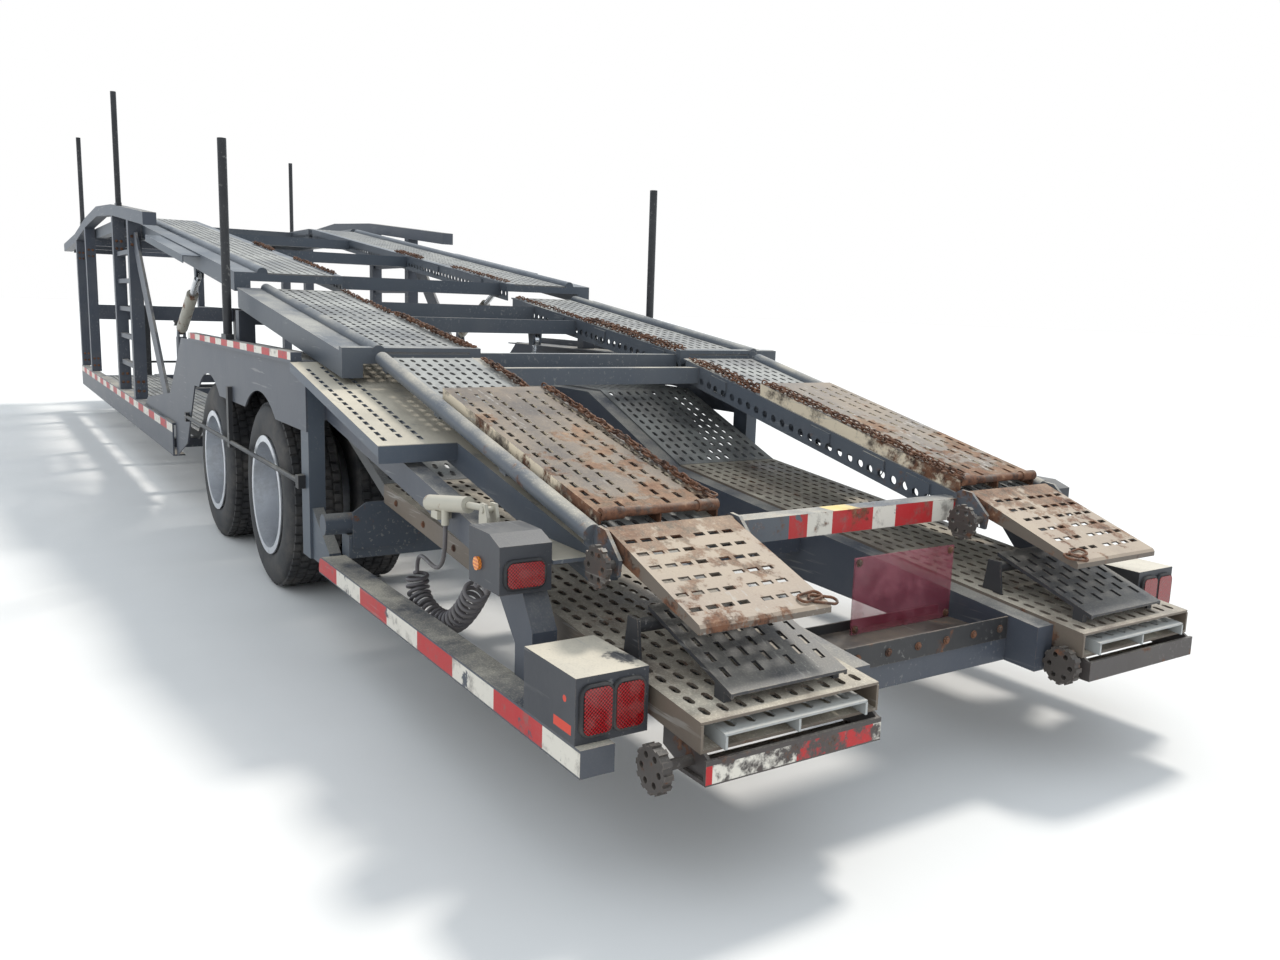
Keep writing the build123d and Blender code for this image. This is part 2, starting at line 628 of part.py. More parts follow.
def chain_link(ahead, across_link):
    """Open link with bevelled corners, its long way along one direction and its wide way along another."""
    half, wide, cut = LINK_LENGTH / 2, LINK_WIDTH / 2, 8
    with BuildPart() as link:
        face = Vector(ahead).cross(Vector(across_link))
        with BuildSketch(Plane(origin=(0, 0, 0), x_dir=ahead, z_dir=face)):
            for shrink, bevel, mode in ((0, cut, Mode.ADD), (LINK_WIRE, cut / 4, Mode.SUBTRACT)):
                a, b = half - shrink, wide - shrink
                corners = [
                    (a - bevel, b), (a, b - bevel), (a, bevel - b), (a - bevel, -b),
                    (bevel - a, -b), (-a, bevel - b), (-a, b - bevel), (bevel - a, b),
                ]
                Polygon(*corners, align=None, mode=mode)
        extrude(amount=LINK_WIRE / 2, both=True)
    return link.part


def chain_runs(line, start):
    """Two chains that lie along the inner flanges, with every second link on edge."""
    (x0, z0), (x1, z1) = line
    tilt = atan2(z1 - z0, x1 - x0)
    ahead = (cos(tilt), 0, sin(tilt))
    upwards = (-sin(tilt), 0, cos(tilt))
    flat = chain_link(ahead, (0, 1, 0))
    on_edge = chain_link(ahead, upwards)
    pitch = LINK_LENGTH - 2 * LINK_WIRE - CLEAR
    lift = LINK_WIDTH / 2 + 0.1
    links = []
    for word, side in SIDES:
        for i in range(CHAIN_LINKS):
            along = pitch * i
            place = (
                st(start) + along * cos(tilt) - lift * sin(tilt),
                side * CHAIN_Y,
                height_on(line, start) + along * sin(tilt) + lift * cos(tilt),
            )
            links.append(Pos(*place) * (on_edge if i % 2 == 0 else flat))
    with BuildPart() as chains:
        add(links)
    return chains


def cross_tubes(line, stations, drop, depth):
    """Square tubes across the trailer between the inner webs of a deck."""
    with BuildPart() as tubes:
        for station in stations:
            top = height_on(line, station) - drop
            add(block((station, station + 80), (-RUN_INNER_Y, RUN_INNER_Y), (top - depth, top)))
    return tubes.part


# Chains on the decks
LINK_LENGTH = 44.0
LINK_WIDTH = 26.0
LINK_WIRE = 7.0
CHAIN_Y = 577.0
CHAIN_LINKS = 13
TAB_OUTLINE = [(0, 12), (120, 12), (120, 52), (100, 82), (20, 82), (0, 52)]

# Hinges of the decks: a knuckle on the moving deck between two lugs, on a pin
PIN_RADIUS = 16.0
KNUCKLE_Y = ((600, 660), (880, 940))
TAIL_HINGE = (2250.0, 1190.0)
REAR_HINGE = (4250.0, 1455.0)
MID_HINGE = (9000.0, 2140.0)

# Lift cylinders: base pin on the frame and eye on the deck, and their distance from the centre line
MID_EYE = (5650.0, 1625.0)
MID_BASE = (6450.0, 1210.0)
CYLINDER_Y = 1130.0
REAR_EYE = (3395.0, 1280.0)
REAR_BASE = (3380.0, 850.0)
REAR_CYLINDER_Y = 300.0
FOOT_DROP = 45.0


def knuckles(line, hinge):
    """Knuckles under the front end of a deck, bored for the pin."""
    x, z = hinge
    under = [(at, height_on(line, at) - PLATE) for at in (line[1][0] - 120, line[1][0] - 4)]
    with BuildPart() as pieces:
        for word, side in SIDES:
            for inner, outer in KNUCKLE_Y:
                nose = [(x + 26, z + 14), (x + 26, z - 14), (x - 20, z - 26), (x - 130, z - 22)]
                add(side_shape(under + nose, across(side, inner, outer)))
        for word, side in SIDES:
            bore = rod((x, side * 580, z), (x, side * 960, z), PIN_RADIUS + CLEAR)
            add(bore, mode=Mode.SUBTRACT)
    return pieces.part


def pins(hinge):
    """Hinge pins, a little longer than the knuckles and 10 mm into each lug."""
    x, z = hinge
    with BuildPart() as pieces:
        for word, side in SIDES:
            for inner, outer in KNUCKLE_Y:
                add(rod((x, side * (inner - 15), z), (x, side * (outer + 15), z), PIN_RADIUS))
    return pieces.part


def lugs(outline):
    """Pairs of lug plates each side of every knuckle."""
    with BuildPart() as pieces:
        for word, side in SIDES:
            for inner, outer in KNUCKLE_Y:
                add(side_shape(outline, across(side, inner - 15, inner - 5)))
                add(side_shape(outline, across(side, outer + 5, outer + 15)))
    return pieces.part


def foot_lug(pin):
    """Outline of the lug plates under a cylinder's base pin."""
    x, z = pin
    return [(x - 40, z - FOOT_DROP), (x + 40, z - FOOT_DROP), (x + 24, z + 26), (x - 24, z + 26)]


def cylinder_mount(pin, y, outline):
    """Pair of lug plates and the pin of a cylinder's end."""
    with BuildPart() as mount:
        add(side_shape(outline, (y - 27, y - 17)))
        add(side_shape(outline, (y + 17, y + 27)))
        add(rod((pin[0], y - 27, pin[1]), (pin[0], y + 27, pin[1]), PIN_RADIUS))
    return mount.part


# Front deck, fixed on the headers
with BuildPart() as front_deck:
    front_ends = (FRONT_DECK[0][0], FRONT_DECK[1][0])
    add(deck_frame(FRONT_DECK, SIDE_BEAM_INNER_Y, SIDE_BEAM_OUTER_Y, front_ends))
    add(cross_tubes(FRONT_DECK, (9700, 10700, 13500), 10, 80))
save(front_deck, "front_deck")
save(deck_plates(FRONT_DECK), "front_deck_plates")

# Hinge stands: lugs of the middle deck on the rear header, and the frame that carries the rear deck
with BuildPart() as hinge_stands:
    x, z = MID_HINGE
    add(lugs([(x - 35, HEADER_TOP), (x + 35, HEADER_TOP), (x + 28, z + 24), (x - 28, z + 24)]))
    add(pins(MID_HINGE))
    x, z = REAR_HINGE
    add(block((x - 40, x + 40), (-SIDE_BEAM_OUTER_Y, SIDE_BEAM_OUTER_Y), (1320, 1400)))
    add(lugs([(x - 35, 1400), (x + 35, 1400), (x + 28, z + 24), (x - 28, z + 24)]))
    add(pins(REAR_HINGE))
    for word, side in SIDES:
        add(block((x - 40, x + 40), across(side, SIDE_BEAM_INNER_Y, SIDE_BEAM_OUTER_Y), (SHEET_TOP, 1320)))
    for word, side in SIDES:
        y = side * CYLINDER_Y
        post = (MID_BASE[0] - 50, MID_BASE[0] + 50)
        add(block(post, across(side, 1100, 1160), (LOW_FLOOR - FLANGE_DEPTH, MID_BASE[1] - FOOT_DROP)))
        add(cylinder_mount(MID_BASE, y, foot_lug(MID_BASE)))
        y = side * REAR_CYLINDER_Y
        add(cylinder_mount(REAR_BASE, y, foot_lug(REAR_BASE)))
    beam = (REAR_BASE[0] - 50, REAR_BASE[0] + 50)
    add(block(beam, (-BEAM_INNER_Y, BEAM_INNER_Y), (745, REAR_BASE[1] - FOOT_DROP)))
save(hinge_stands, "hinge_stands")

# Middle deck with its walkway plates
with BuildPart() as mid_deck:
    add(deck_frame(MID_DECK, SIDE_BEAM_INNER_Y, SIDE_BEAM_OUTER_Y, (MID_DECK[0][0], 8930)))
    add(inner_tabs(MID_DECK, (4700, 5500)))
    add(cross_tubes(MID_DECK, (4420, 6200, 7700), 10, 80))
    add(knuckles(MID_DECK, MID_HINGE))
    walk = [(x, height_on(MID_DECK, x)) for x in (5300, 6900)]
    for word, side in SIDES:
        add(band(walk, 10, 6, across(side, SIDE_BEAM_OUTER_Y, POST_OUTER_Y)))
        add(band(walk, 10, 50, across(side, POST_OUTER_Y - 6, POST_OUTER_Y)))
    for word, side in SIDES:
        x, z = MID_EYE
        under = [(at, height_on(MID_DECK, at) - WEB_DEPTH) for at in (x + 40, x - 40)]
        add(cylinder_mount(MID_EYE, side * CYLINDER_Y, under + [(x - 24, z - 26), (x + 24, z - 26)]))
save(mid_deck, "mid_deck")
save(deck_plates(MID_DECK), "mid_deck_plates")

# Rear deck, with the lip bar over the joint to the tail deck
with BuildPart() as rear_deck:
    add(deck_frame(REAR_DECK, SIDE_BEAM_INNER_Y, SIDE_BEAM_OUTER_Y, (REAR_DECK[0][0], 4215)))
    add(inner_tabs(REAR_DECK, (2400, 3010, 3500)))
    add(cross_tubes(REAR_DECK, (2300, 3355, 3900), 10, 80))
    add(knuckles(REAR_DECK, REAR_HINGE))
    x, z = TAIL_HINGE
    under = [(at, height_on(REAR_DECK, at) - PLATE) for at in (x + 25, x + 90)]
    nose = [(x + 90, z - 20), (x + 10, z - 26), (x - 22, z - 18), (x - 22, z + 18), (x - 6, z + 26)]
    add(lugs(under + nose))
    add(pins(TAIL_HINGE))
    lip = [(at, height_on(REAR_DECK, at)) for at in (REAR_DECK[0][0], REAR_DECK[0][0] + 40)]
    for word, side in SIDES:
        add(band(lip, -18, 18, across(side, RUN_INNER_Y, SIDE_BEAM_OUTER_Y)))
        x, z = REAR_EYE
        tube = height_on(REAR_DECK, 3355) - 90
        outline = [(x + 36, tube), (x - 36, tube), (x - 24, z - 26), (x + 24, z - 26)]
        add(cylinder_mount(REAR_EYE, side * REAR_CYLINDER_Y, outline))
save(rear_deck, "rear_deck")
save(chain_runs(REAR_DECK, 2560), "rear_chains")
save(deck_plates(REAR_DECK), "rear_deck_plates")

# Tail deck, with the ears that carry the flip ramps and the winch ratchets
FLIP_HINGE = (400.0, 838.0)
FLIP_PIN_RADIUS = 12.0
EAR_Y = ((528, 540), (1005, 1017))
with BuildPart() as tail_deck:
    add(deck_frame(TAIL_DECK, CURB_Y, CURB_Y, (TAIL_DECK[0][0], 2215)))
    add(inner_tabs(TAIL_DECK, (580, 820, 1140, 1870)))
    add(cross_tubes(TAIL_DECK, (432, 2100), 8, 78))
    add(knuckles(TAIL_DECK, TAIL_HINGE))
    x, z = FLIP_HINGE
    ear = [(x + 50, z + 8), (x + 50, z - 90), (x - 100, z - 100), (x - 108, z - 50)]
    ear += [(x - 30, z + 22), (x + 15, z + 26)]
    for word, side in SIDES:
        for inner, outer in EAR_Y:
            add(side_shape(ear, across(side, inner, outer)))
        add(rod((x, side * 540, z), (x, side * 575, z), FLIP_PIN_RADIUS))
        add(rod((x, side * 970, z), (x, side * 1005, z), FLIP_PIN_RADIUS))
save(tail_deck, "tail_deck")
save(chain_runs(TAIL_DECK, 1690), "tail_chains")
save(deck_plates(TAIL_DECK), "tail_deck_plates")

# Raised slotted plates on the tail deck
RAISED = ((450.0, 890.0), (1630.0, 1160.0))
with BuildPart() as raised_plates:
    for word, side in SIDES:
        add(band(RAISED, 0, 6, across(side, 560, 990)))
        skirt = list(RAISED) + [(x, height_on(TAIL_DECK, x)) for x in (RAISED[1][0], RAISED[0][0])]
        for inner, outer in ((560, 566), (772, 778), (984, 990)):
            add(side_shape(skirt, across(side, inner, outer)))
        columns = [side * y for y in (594, 659, 724, 826, 891, 956)]
        add(slots(RAISED, (470, 1610), columns, 20), mode=Mode.SUBTRACT)
save(raised_plates, "raised_plates")

# Flip ramps at the tail, slotted wedges that hinge up about their front tube
RAMP_LINE = ((400.0, 860.0), (-59.0, 699.0))
for word, side in SIDES:
    with BuildPart() as flip_ramp:
        x, z = FLIP_HINGE
        add(band(RAMP_LINE, 0, 6, across(side, 551, 995)))
        skirt = [RAMP_LINE[0], RAMP_LINE[1], (-59, 672), (300, 772), (390, 822)]
        for inner, outer in ((551, 557), (770, 776), (989, 995)):
            add(side_shape(skirt, across(side, inner, outer)))
        add(side_shape([(-59, 699), (-66, 690), (-66, 674), (-50, 674), (-50, 700)], across(side, 551, 995)))
        add(rod((x, side * 545, z), (x, side * 1000, z), 20))
        add(rod((x, side * 540, z), (x, side * 1010, z), FLIP_PIN_RADIUS + CLEAR), mode=Mode.SUBTRACT)
        columns = [side * y for y in (621, 673, 725, 806, 858, 910, 962)]
        ramp_slots = slots((RAMP_LINE[1], RAMP_LINE[0]), (-32, 372), columns, 12, SLOT_ACROSS, 0)
        add(ramp_slots, mode=Mode.SUBTRACT)
    save(flip_ramp, f"flip_ramp_{word}")


WINCH_RADIUS = 57.0


def toothed_wheel(station, height, y_range):
    """Winch ratchet: a disc with notched rim and round holes, on a stub shaft."""
    with BuildPart() as wheel:
        with BuildSketch(Plane.XZ.offset(-y_range[1])):
            with Locations((st(station), height)):
                Circle(WINCH_RADIUS)
                with PolarLocations(WINCH_RADIUS, 12):
                    Rectangle(12, 14)
                with PolarLocations(WINCH_RADIUS - 19, 6):
                    Circle(9, mode=Mode.SUBTRACT)
        extrude(amount=y_range[1] - y_range[0])
    return wheel.part


# Winch ratchets: one at each corner of the tail deck and one at each lower tail
UPPER_WINCH = (320.0, 770.0)
LOWER_WINCH = (-125.0, 380.0)
with BuildPart() as upper_winches:
    for shaft, disc in (((1017, 1060), (1060, 1076)), ((-528, -440), (-440, -424))):
        add(rod((UPPER_WINCH[0], shaft[0], UPPER_WINCH[1]), (UPPER_WINCH[0], shaft[1], UPPER_WINCH[1]), 14))
        add(toothed_wheel(*UPPER_WINCH, disc))
save(upper_winches, "upper_winches")
with BuildPart() as lower_winches:
    for shaft, disc in (((1050, 1145), (1145, 1173)), ((-470, -444), (-444, -416))):
        add(rod((LOWER_WINCH[0], shaft[0], LOWER_WINCH[1]), (LOWER_WINCH[0], shaft[1], LOWER_WINCH[1]), 14))
        add(toothed_wheel(*LOWER_WINCH, disc))
save(lower_winches, "lower_winches")


def cylinder_set(base, eye, y, barrel_radius, rod_radius, slack):
    """Barrel and rod of one lift cylinder, from its base pin to the eye on its deck."""
    length = hypot(eye[0] - base[0], eye[1] - base[1])
    unit = ((eye[0] - base[0]) / length, (eye[1] - base[1]) / length)

    def along(distance):
        return base[0] + unit[0] * distance, y, base[1] + unit[1] * distance

    with BuildPart() as barrel:
        add(rod((base[0], y - 12, base[1]), (base[0], y + 12, base[1]), 28))
        add(rod(along(0), along(55), 12))
        add(rod(along(50), along(length * 0.66), barrel_radius))
        add(rod(along(70), along(length), rod_radius + CLEAR), mode=Mode.SUBTRACT)
        bore = rod((base[0], y - 40, base[1]), (base[0], y + 40, base[1]), PIN_RADIUS + CLEAR)
        add(bore, mode=Mode.SUBTRACT)
    with BuildPart() as piston_rod:
        add(rod(along(80), along(length - 70), rod_radius))
        add(rod(along(length - 75), along(length - PIN_RADIUS - slack - 2), 12))
        add(rod((eye[0], y - 12, eye[1]), (eye[0], y + 12, eye[1]), PIN_RADIUS + slack + 12))
        add(rod((eye[0], y - 20, eye[1]), (eye[0], y + 20, eye[1]), PIN_RADIUS + slack), mode=Mode.SUBTRACT)
    return barrel.part, piston_rod.part


CYLINDERS = [
    # deck, base pin, eye, distance from the centre line, barrel radius, rod radius, slack at the eye
    ("mid", MID_BASE, MID_EYE, CYLINDER_Y, 40.0, 22.0, 10.0),
    ("rear", REAR_BASE, REAR_EYE, REAR_CYLINDER_Y, 36.0, 20.0, 4.0),
]
for name, base, eye, y, barrel_radius, rod_radius, slack in CYLINDERS:
    left = cylinder_set(base, eye, y, barrel_radius, rod_radius, slack)
    right = cylinder_set(base, eye, -y, barrel_radius, rod_radius, slack)
    with BuildPart() as barrels:
        add(left[0])
        add(right[0])
    save(barrels, f"{name}_lift_barrels")
    with BuildPart() as rods:
        add(left[1])
        add(right[1])
    save(rods, f"{name}_lift_rods")


# Guard plates, canisters and lock cylinders at the rear cross beam and the lamp arms
VALVE_BOTTOM = 758.0
GLAND_BOTTOM = 655.0
with BuildPart() as rear_fittings:
    for word, side in SIDES:
        with BuildSketch(Plane.YZ.offset(st(2150))):
            with BuildLine():
                inner, outer = side * 880, side * 1180
                left_edge = [(inner + side * 30, 440), (inner, 470), (inner, 610), (inner + side * 30, 640)]
                right_edge = [(outer - side * 60, 640), (outer, 600), (outer, 440)]
                Polyline(*left_edge, *right_edge, close=True)
            make_face()
        extrude(amount=-10)
        add(rod((2200, side * 1100, 545), (2200, side * 1290, 545), 45))
        front, middle = (1170, side * 1222, 815), (935, side * 1185, 845)
        add(rod(front, middle, 27))
        add(rod(middle, (826, side * 1168, 851), 11))
        for near in (1146, 1180):
            fork = [(785, 775), (845, 775), (845, 830), (835, 870), (800, 870), (785, 830)]
            add(side_shape(fork, across(side, near, near + 10)))
        add(rod((817, side * 1142, 850), (817, side * 1194, 850), 10))
        add(block((1085, 1140), across(side, 1180, 1230), (772, 800)))
        add(rod((1060, side * 1212, 820), (1060, side * 1212, VALVE_BOTTOM), 13))
        add(rod((672, side * 1235, HIGH_BOX[2]), (672, side * 1235, GLAND_BOTTOM), 12))
save(rear_fittings, "rear_fittings")

# Curly cord of the left lamps, from the lock cylinder's valve to the gland of the high lamp box
CORD_RADIUS = 7.5
COIL_RADIUS = 45.0
LEAD_IN = [
    (1060, 1212, VALVE_BOTTOM), (1060, 1212, 708), (1089, 1204, 645), (1148, 1191, 598),
    (1225, 1176, 570), (1305, 1163, 562), (1380, 1154, 566), (1438, 1149, 566), (1475, 1146, 552),
    (1492, 1145, 522), (1492, 1145, 490),
]
COIL = [
    (1492, 1145, 490), (1492, 1145, 440), (1466, 1143, 395), (1410, 1141, 368), (1335, 1140, 358),
    (1255, 1140, 364), (1175, 1142, 384), (1100, 1147, 420), (1030, 1155, 464), (965, 1163, 512),
    (905, 1174, 558), (850, 1186, 600),
]
LEAD_OUT = [
    (850, 1186, 600), (814.25, 1193.8, 627.3), (778, 1206, 634), (740, 1218, 630), (705, 1228, 622),
    (672, 1235, 628), (672, 1235, GLAND_BOTTOM),
]


def cord_tube(route, radius):
    """Tube along straight runs joined by tangent arcs, each as large as its two runs allow."""
    points = [Vector(st(x), y, z) for x, y, z in route]
    radii = []
    for before, corner, after in zip(points, points[1:], points[2:]):
        first, second = corner - before, after - corner
        turn = radians(first.get_angle(second))
        radii.append(0.45 * min(first.length, second.length) / tan(turn / 2))
    with BuildPart() as tube:
        with BuildLine():
            path = FilletPolyline(*points, radius=radii)
        with BuildSketch(Plane(origin=path @ 0, z_dir=path % 0)):
            Circle(radius)
        sweep(path=path)
    share = tube.part.volume / (pi * radius**2 * path.length)
    print("bend radii", [round(value) for value in radii])
    print("length", round(path.length), "share of section times length", round(share, 4))
    return tube


save(cord_tube(LEAD_IN, CORD_RADIUS), "cord_lead_in")
save(cord_tube(COIL, COIL_RADIUS), "curly_cord")
save(cord_tube(LEAD_OUT, CORD_RADIUS), "cord_lead_out")
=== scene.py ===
# %% [markdown]
# A two-level car transporter trailer
#
# The frame of this trailer is already drawn with its real sizes and its real joints. This lesson
# dresses it: the perforated treads, chains, tyres, bolts and lamps that a drawing leaves plain, and
# paint, rust and road dust on every part. Places along the trailer are written as stations, in
# millimetres measured forwards from the rear end of the low side rails, as on a maker's drawing.

import math
import random

import bmesh
import bpy
from mathutils import Matrix, Vector


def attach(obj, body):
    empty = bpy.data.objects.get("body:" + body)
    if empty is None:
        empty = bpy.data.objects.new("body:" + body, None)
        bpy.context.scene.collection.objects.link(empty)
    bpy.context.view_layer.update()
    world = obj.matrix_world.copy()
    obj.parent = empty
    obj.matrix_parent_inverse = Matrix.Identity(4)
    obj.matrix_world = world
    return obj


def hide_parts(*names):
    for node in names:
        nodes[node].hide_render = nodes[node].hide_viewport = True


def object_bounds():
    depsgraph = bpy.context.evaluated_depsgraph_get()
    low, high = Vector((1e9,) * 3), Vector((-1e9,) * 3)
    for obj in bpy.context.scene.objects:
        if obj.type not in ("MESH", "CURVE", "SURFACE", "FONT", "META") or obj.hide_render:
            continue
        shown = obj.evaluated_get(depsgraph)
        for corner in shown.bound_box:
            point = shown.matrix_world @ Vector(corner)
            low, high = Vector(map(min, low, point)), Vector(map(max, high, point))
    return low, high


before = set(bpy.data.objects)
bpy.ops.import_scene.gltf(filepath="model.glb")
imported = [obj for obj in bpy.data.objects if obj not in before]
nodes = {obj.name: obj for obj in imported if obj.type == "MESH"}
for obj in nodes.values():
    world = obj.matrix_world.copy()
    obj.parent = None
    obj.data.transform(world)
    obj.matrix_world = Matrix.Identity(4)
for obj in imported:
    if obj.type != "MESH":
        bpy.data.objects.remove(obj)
cad_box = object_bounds()
RAIL_END = -7.2
SIDES = (1, -1)
HANDS = (("left", 1), ("right", -1))


def place(station, y, z):
    """Point in metres from a station, a sideways place and a height in millimetres."""
    return Vector((RAIL_END + station / 1000, y / 1000, z / 1000))


def linked(name, data):
    """New object of the scene that holds a mesh, a curve, a camera or a lamp."""
    made = bpy.data.objects.new(name, data)
    bpy.context.scene.collection.objects.link(made)
    return made


# %% [markdown]
# The camera
#
# The camera comes first, because every later choice is judged through it. It stands behind the left
# rear corner at head height, with a short lens. Its yaw, pitch and roll give the three directions of
# its frame, and these are the columns of its rotation, so that a slight roll is easy to add.

# %% Camera behind the left rear corner
CAMERA_PLACE = Vector((-9.263, 2.491, 1.472))
CAMERA_LENS = 29.03
YAW, PITCH, ROLL = (math.radians(angle) for angle in (-33.093, -9.311, 1.855))

forward = Vector((math.cos(YAW) * math.cos(PITCH), math.sin(YAW) * math.cos(PITCH), math.sin(PITCH)))
level = Vector((math.sin(YAW), -math.cos(YAW), 0.0))
upright = level.cross(forward)
picture_x = math.cos(ROLL) * level + math.sin(ROLL) * upright
picture_y = -math.sin(ROLL) * level + math.cos(ROLL) * upright
camera_data = bpy.data.cameras.new("camera")
camera_data.lens = CAMERA_LENS
camera_data.sensor_width = 36.0
camera_data.sensor_fit = "HORIZONTAL"
camera_data.clip_end = 400.0
camera = linked("camera", camera_data)
rotation = Matrix((picture_x, picture_y, -forward)).transposed().to_4x4()
camera.matrix_world = Matrix.Translation(CAMERA_PLACE) @ rotation
bpy.context.scene.camera = camera
print("camera lens", CAMERA_LENS)

# %% [markdown]
# Short ways to write node trees
#
# Every finish below is a node tree, and so is every pattern of slots, links or bolts. A small class
# keeps the lines short: it adds a node, sets or joins its inputs, and hands back the output that the
# next node needs. Masks are numbers from 0 to 1, so that they can be multiplied.


# %% A helper for node trees
class Tree:
    """Adds nodes to one node tree and joins them."""

    def __init__(self, tree):
        self.tree = tree

    def node(self, kind, inputs=(), **settings):
        made = self.tree.nodes.new(kind)
        for key, value in settings.items():
            setattr(made, key, value)
        self.fill(made, inputs)
        return made

    def out(self, kind, inputs=(), **settings):
        """First output of a new node."""
        return self.node(kind, inputs, **settings).outputs[0]

    def fill(self, node, inputs):
        """Sets or joins several inputs of a node."""
        for key, value in dict(inputs).items():
            self.put(node.inputs[key], value)

    def put(self, socket, value):
        if isinstance(value, bpy.types.NodeSocket):
            self.tree.links.new(value, socket)
        else:
            socket.default_value = value

    def math(self, operation, first, second=0.0):
        return self.out("ShaderNodeMath", {0: first, 1: second}, operation=operation)

    def plus(self, first, second):
        return self.math("ADD", first, second)

    def minus(self, first, second):
        return self.math("SUBTRACT", first, second)

    def times(self, first, *others):
        """Product; of masks, it is 1 where every mask is 1."""
        for other in others:
            first = self.math("MULTIPLY", first, other)
        return first

    def over(self, value, limit):
        return self.math("GREATER_THAN", value, limit)

    def under(self, value, limit):
        return self.math("LESS_THAN", value, limit)

    def size(self, value):
        """The value without its sign, so that both sides of the trailer are treated alike."""
        return self.math("ABSOLUTE", value)

    def near(self, value, middle, reach):
        return self.under(self.size(self.minus(value, middle)), reach)

    def where(self):
        """Object coordinates, which stay with a part when it moves."""
        return self.node("ShaderNodeTexCoord").outputs["Object"]

    def parts(self, vector):
        return self.node("ShaderNodeSeparateXYZ", {0: vector}).outputs

    def vector(self, x, y, z):
        return self.out("ShaderNodeCombineXYZ", {0: x, 1: y, 2: z})

    def facing(self):
        """The three parts of the direction in which the surface looks."""
        return self.parts(self.node("ShaderNodeNewGeometry").outputs["Normal"])

    def distance(self, vector):
        return self.node("ShaderNodeVectorMath", {0: vector}, operation="LENGTH").outputs[1]

    def mix(self, factor, first, second):
        made = self.node("ShaderNodeMix", data_type="RGBA")
        self.fill(made, {0: factor, 6: first, 7: second})
        return made.outputs[2]

    def spread(self, value, low, high, to_low=0.0, to_high=1.0):
        """Soft step: the value runs from to_low at low to to_high at high."""
        made = self.node("ShaderNodeMapRange", interpolation_type="SMOOTHSTEP")
        self.fill(made, {0: value, 1: low, 2: high, 3: to_low, 4: to_high})
        return made.outputs[0]

    def noise(self, vector, scale, detail=3.0, roughness=0.55, stretch=None):
        if stretch:
            vector = self.out("ShaderNodeVectorMath", {0: vector, 1: stretch}, operation="MULTIPLY")
        inputs = {"Vector": vector, "Scale": scale, "Detail": detail, "Roughness": roughness}
        return self.out("ShaderNodeTexNoise", inputs)

    def patches(self, vector, scale, low, high, detail=6.0, roughness=0.7):
        """Mask of irregular patches; a low limit over the high one turns it round."""
        return self.spread(self.noise(vector, scale, detail, roughness), low, high)

    def bump(self, height, strength, depth):
        return self.out("ShaderNodeBump", {"Height": height, "Strength": strength, "Distance": depth})


def rgb(red, green, blue):
    """Linear colour of a shade that is written as the 0 to 255 values of a screen."""
    shades = [shade / 255 for shade in (red, green, blue)]
    linear = [s / 12.92 if s <= 0.04045 else ((s + 0.055) / 1.055) ** 2.4 for s in shades]
    return (*linear, 1.0)


def new_tree(kind, name, inputs, outputs):
    """Empty node tree with named sockets, its helper, and the sockets to read and to write."""
    tree = bpy.data.node_groups.new(name, kind)
    for label, socket_kind, default in inputs:
        socket = tree.interface.new_socket(label, in_out="INPUT", socket_type=socket_kind)
        if default is not None:
            socket.default_value = default
    for label, socket_kind in outputs:
        tree.interface.new_socket(label, in_out="OUTPUT", socket_type=socket_kind)
    helper = Tree(tree)
    return tree, helper, helper.node("NodeGroupInput").outputs, helper.node("NodeGroupOutput").inputs


FLOAT, COLOUR = "NodeSocketFloat", "NodeSocketColor"
print("node helper ready")

# %% [markdown]
# Effects that many finishes share
#
# Road dust settles on what faces up. Rust starts in patches and has three shades of its own. Paint
# wears through along edges, and feet, chains and tyres scratch it lengthwise. Each effect is one node
# group, built once, and every finish below asks for its own amount of it.


# %% Dust, rust, worn edges and scratches as node groups
def new_group(name, inputs, outputs):
    """Shader group, its helper, its Object coordinates, and the sockets to read and to write."""
    group, t, given, result = new_tree("ShaderNodeTree", name, inputs, outputs)
    return group, t, t.where(), given, result


dust_group, t, where, given, result = new_group(
    "Road dust", [("Amount", FLOAT, 0.6), ("Scale", FLOAT, 3.0)], [("Mask", FLOAT)]
)
upward = t.spread(t.facing()[2], 0.35, 0.9)
clouds = t.patches(where, given["Scale"], 0.32, 0.68, 5.0, 0.65)
grit = t.patches(where, 160.0, 0.52, 0.62, 2.0, 0.55)
thick = t.plus(t.times(clouds, 0.75), t.times(grit, 0.25))
film = t.plus(t.times(upward, 0.95), 0.05)
t.put(result[0], t.times(thick, film, given["Amount"]))

rust_group, t, where, given, result = new_group(
    "Rust", [("Coverage", FLOAT, 0.3), ("Scale", FLOAT, 6.0)], [("Mask", FLOAT), ("Colour", COLOUR)]
)
edge = t.minus(0.86, t.times(given["Coverage"], 0.62))
t.put(result[0], t.patches(where, given["Scale"], t.minus(edge, 0.05), t.plus(edge, 0.04), 8.0))
shade = t.noise(where, 23.0, 6.0, 0.7)
dark_to_orange = t.mix(t.spread(shade, 0.35, 0.55), rgb(62, 45, 38), rgb(112, 76, 56))
t.put(result[1], t.mix(t.spread(shade, 0.56, 0.72), dark_to_orange, rgb(158, 126, 100)))

wear_group, t, where, given, result = new_group(
    "Worn edges", [("Width", FLOAT, 0.006), ("Amount", FLOAT, 0.7)], [("Mask", FLOAT)]
)
round_normal = t.out("ShaderNodeBevel", {"Radius": given["Width"]}, samples=4)
flat_normal = t.node("ShaderNodeNewGeometry").outputs["Normal"]
agree = t.node("ShaderNodeVectorMath", {0: round_normal, 1: flat_normal}, operation="DOT_PRODUCT")
chips = t.patches(where, 40.0, 0.42, 0.6, 4.0)
t.put(result[0], t.times(t.spread(agree.outputs[1], 0.995, 0.86), chips, given["Amount"]))

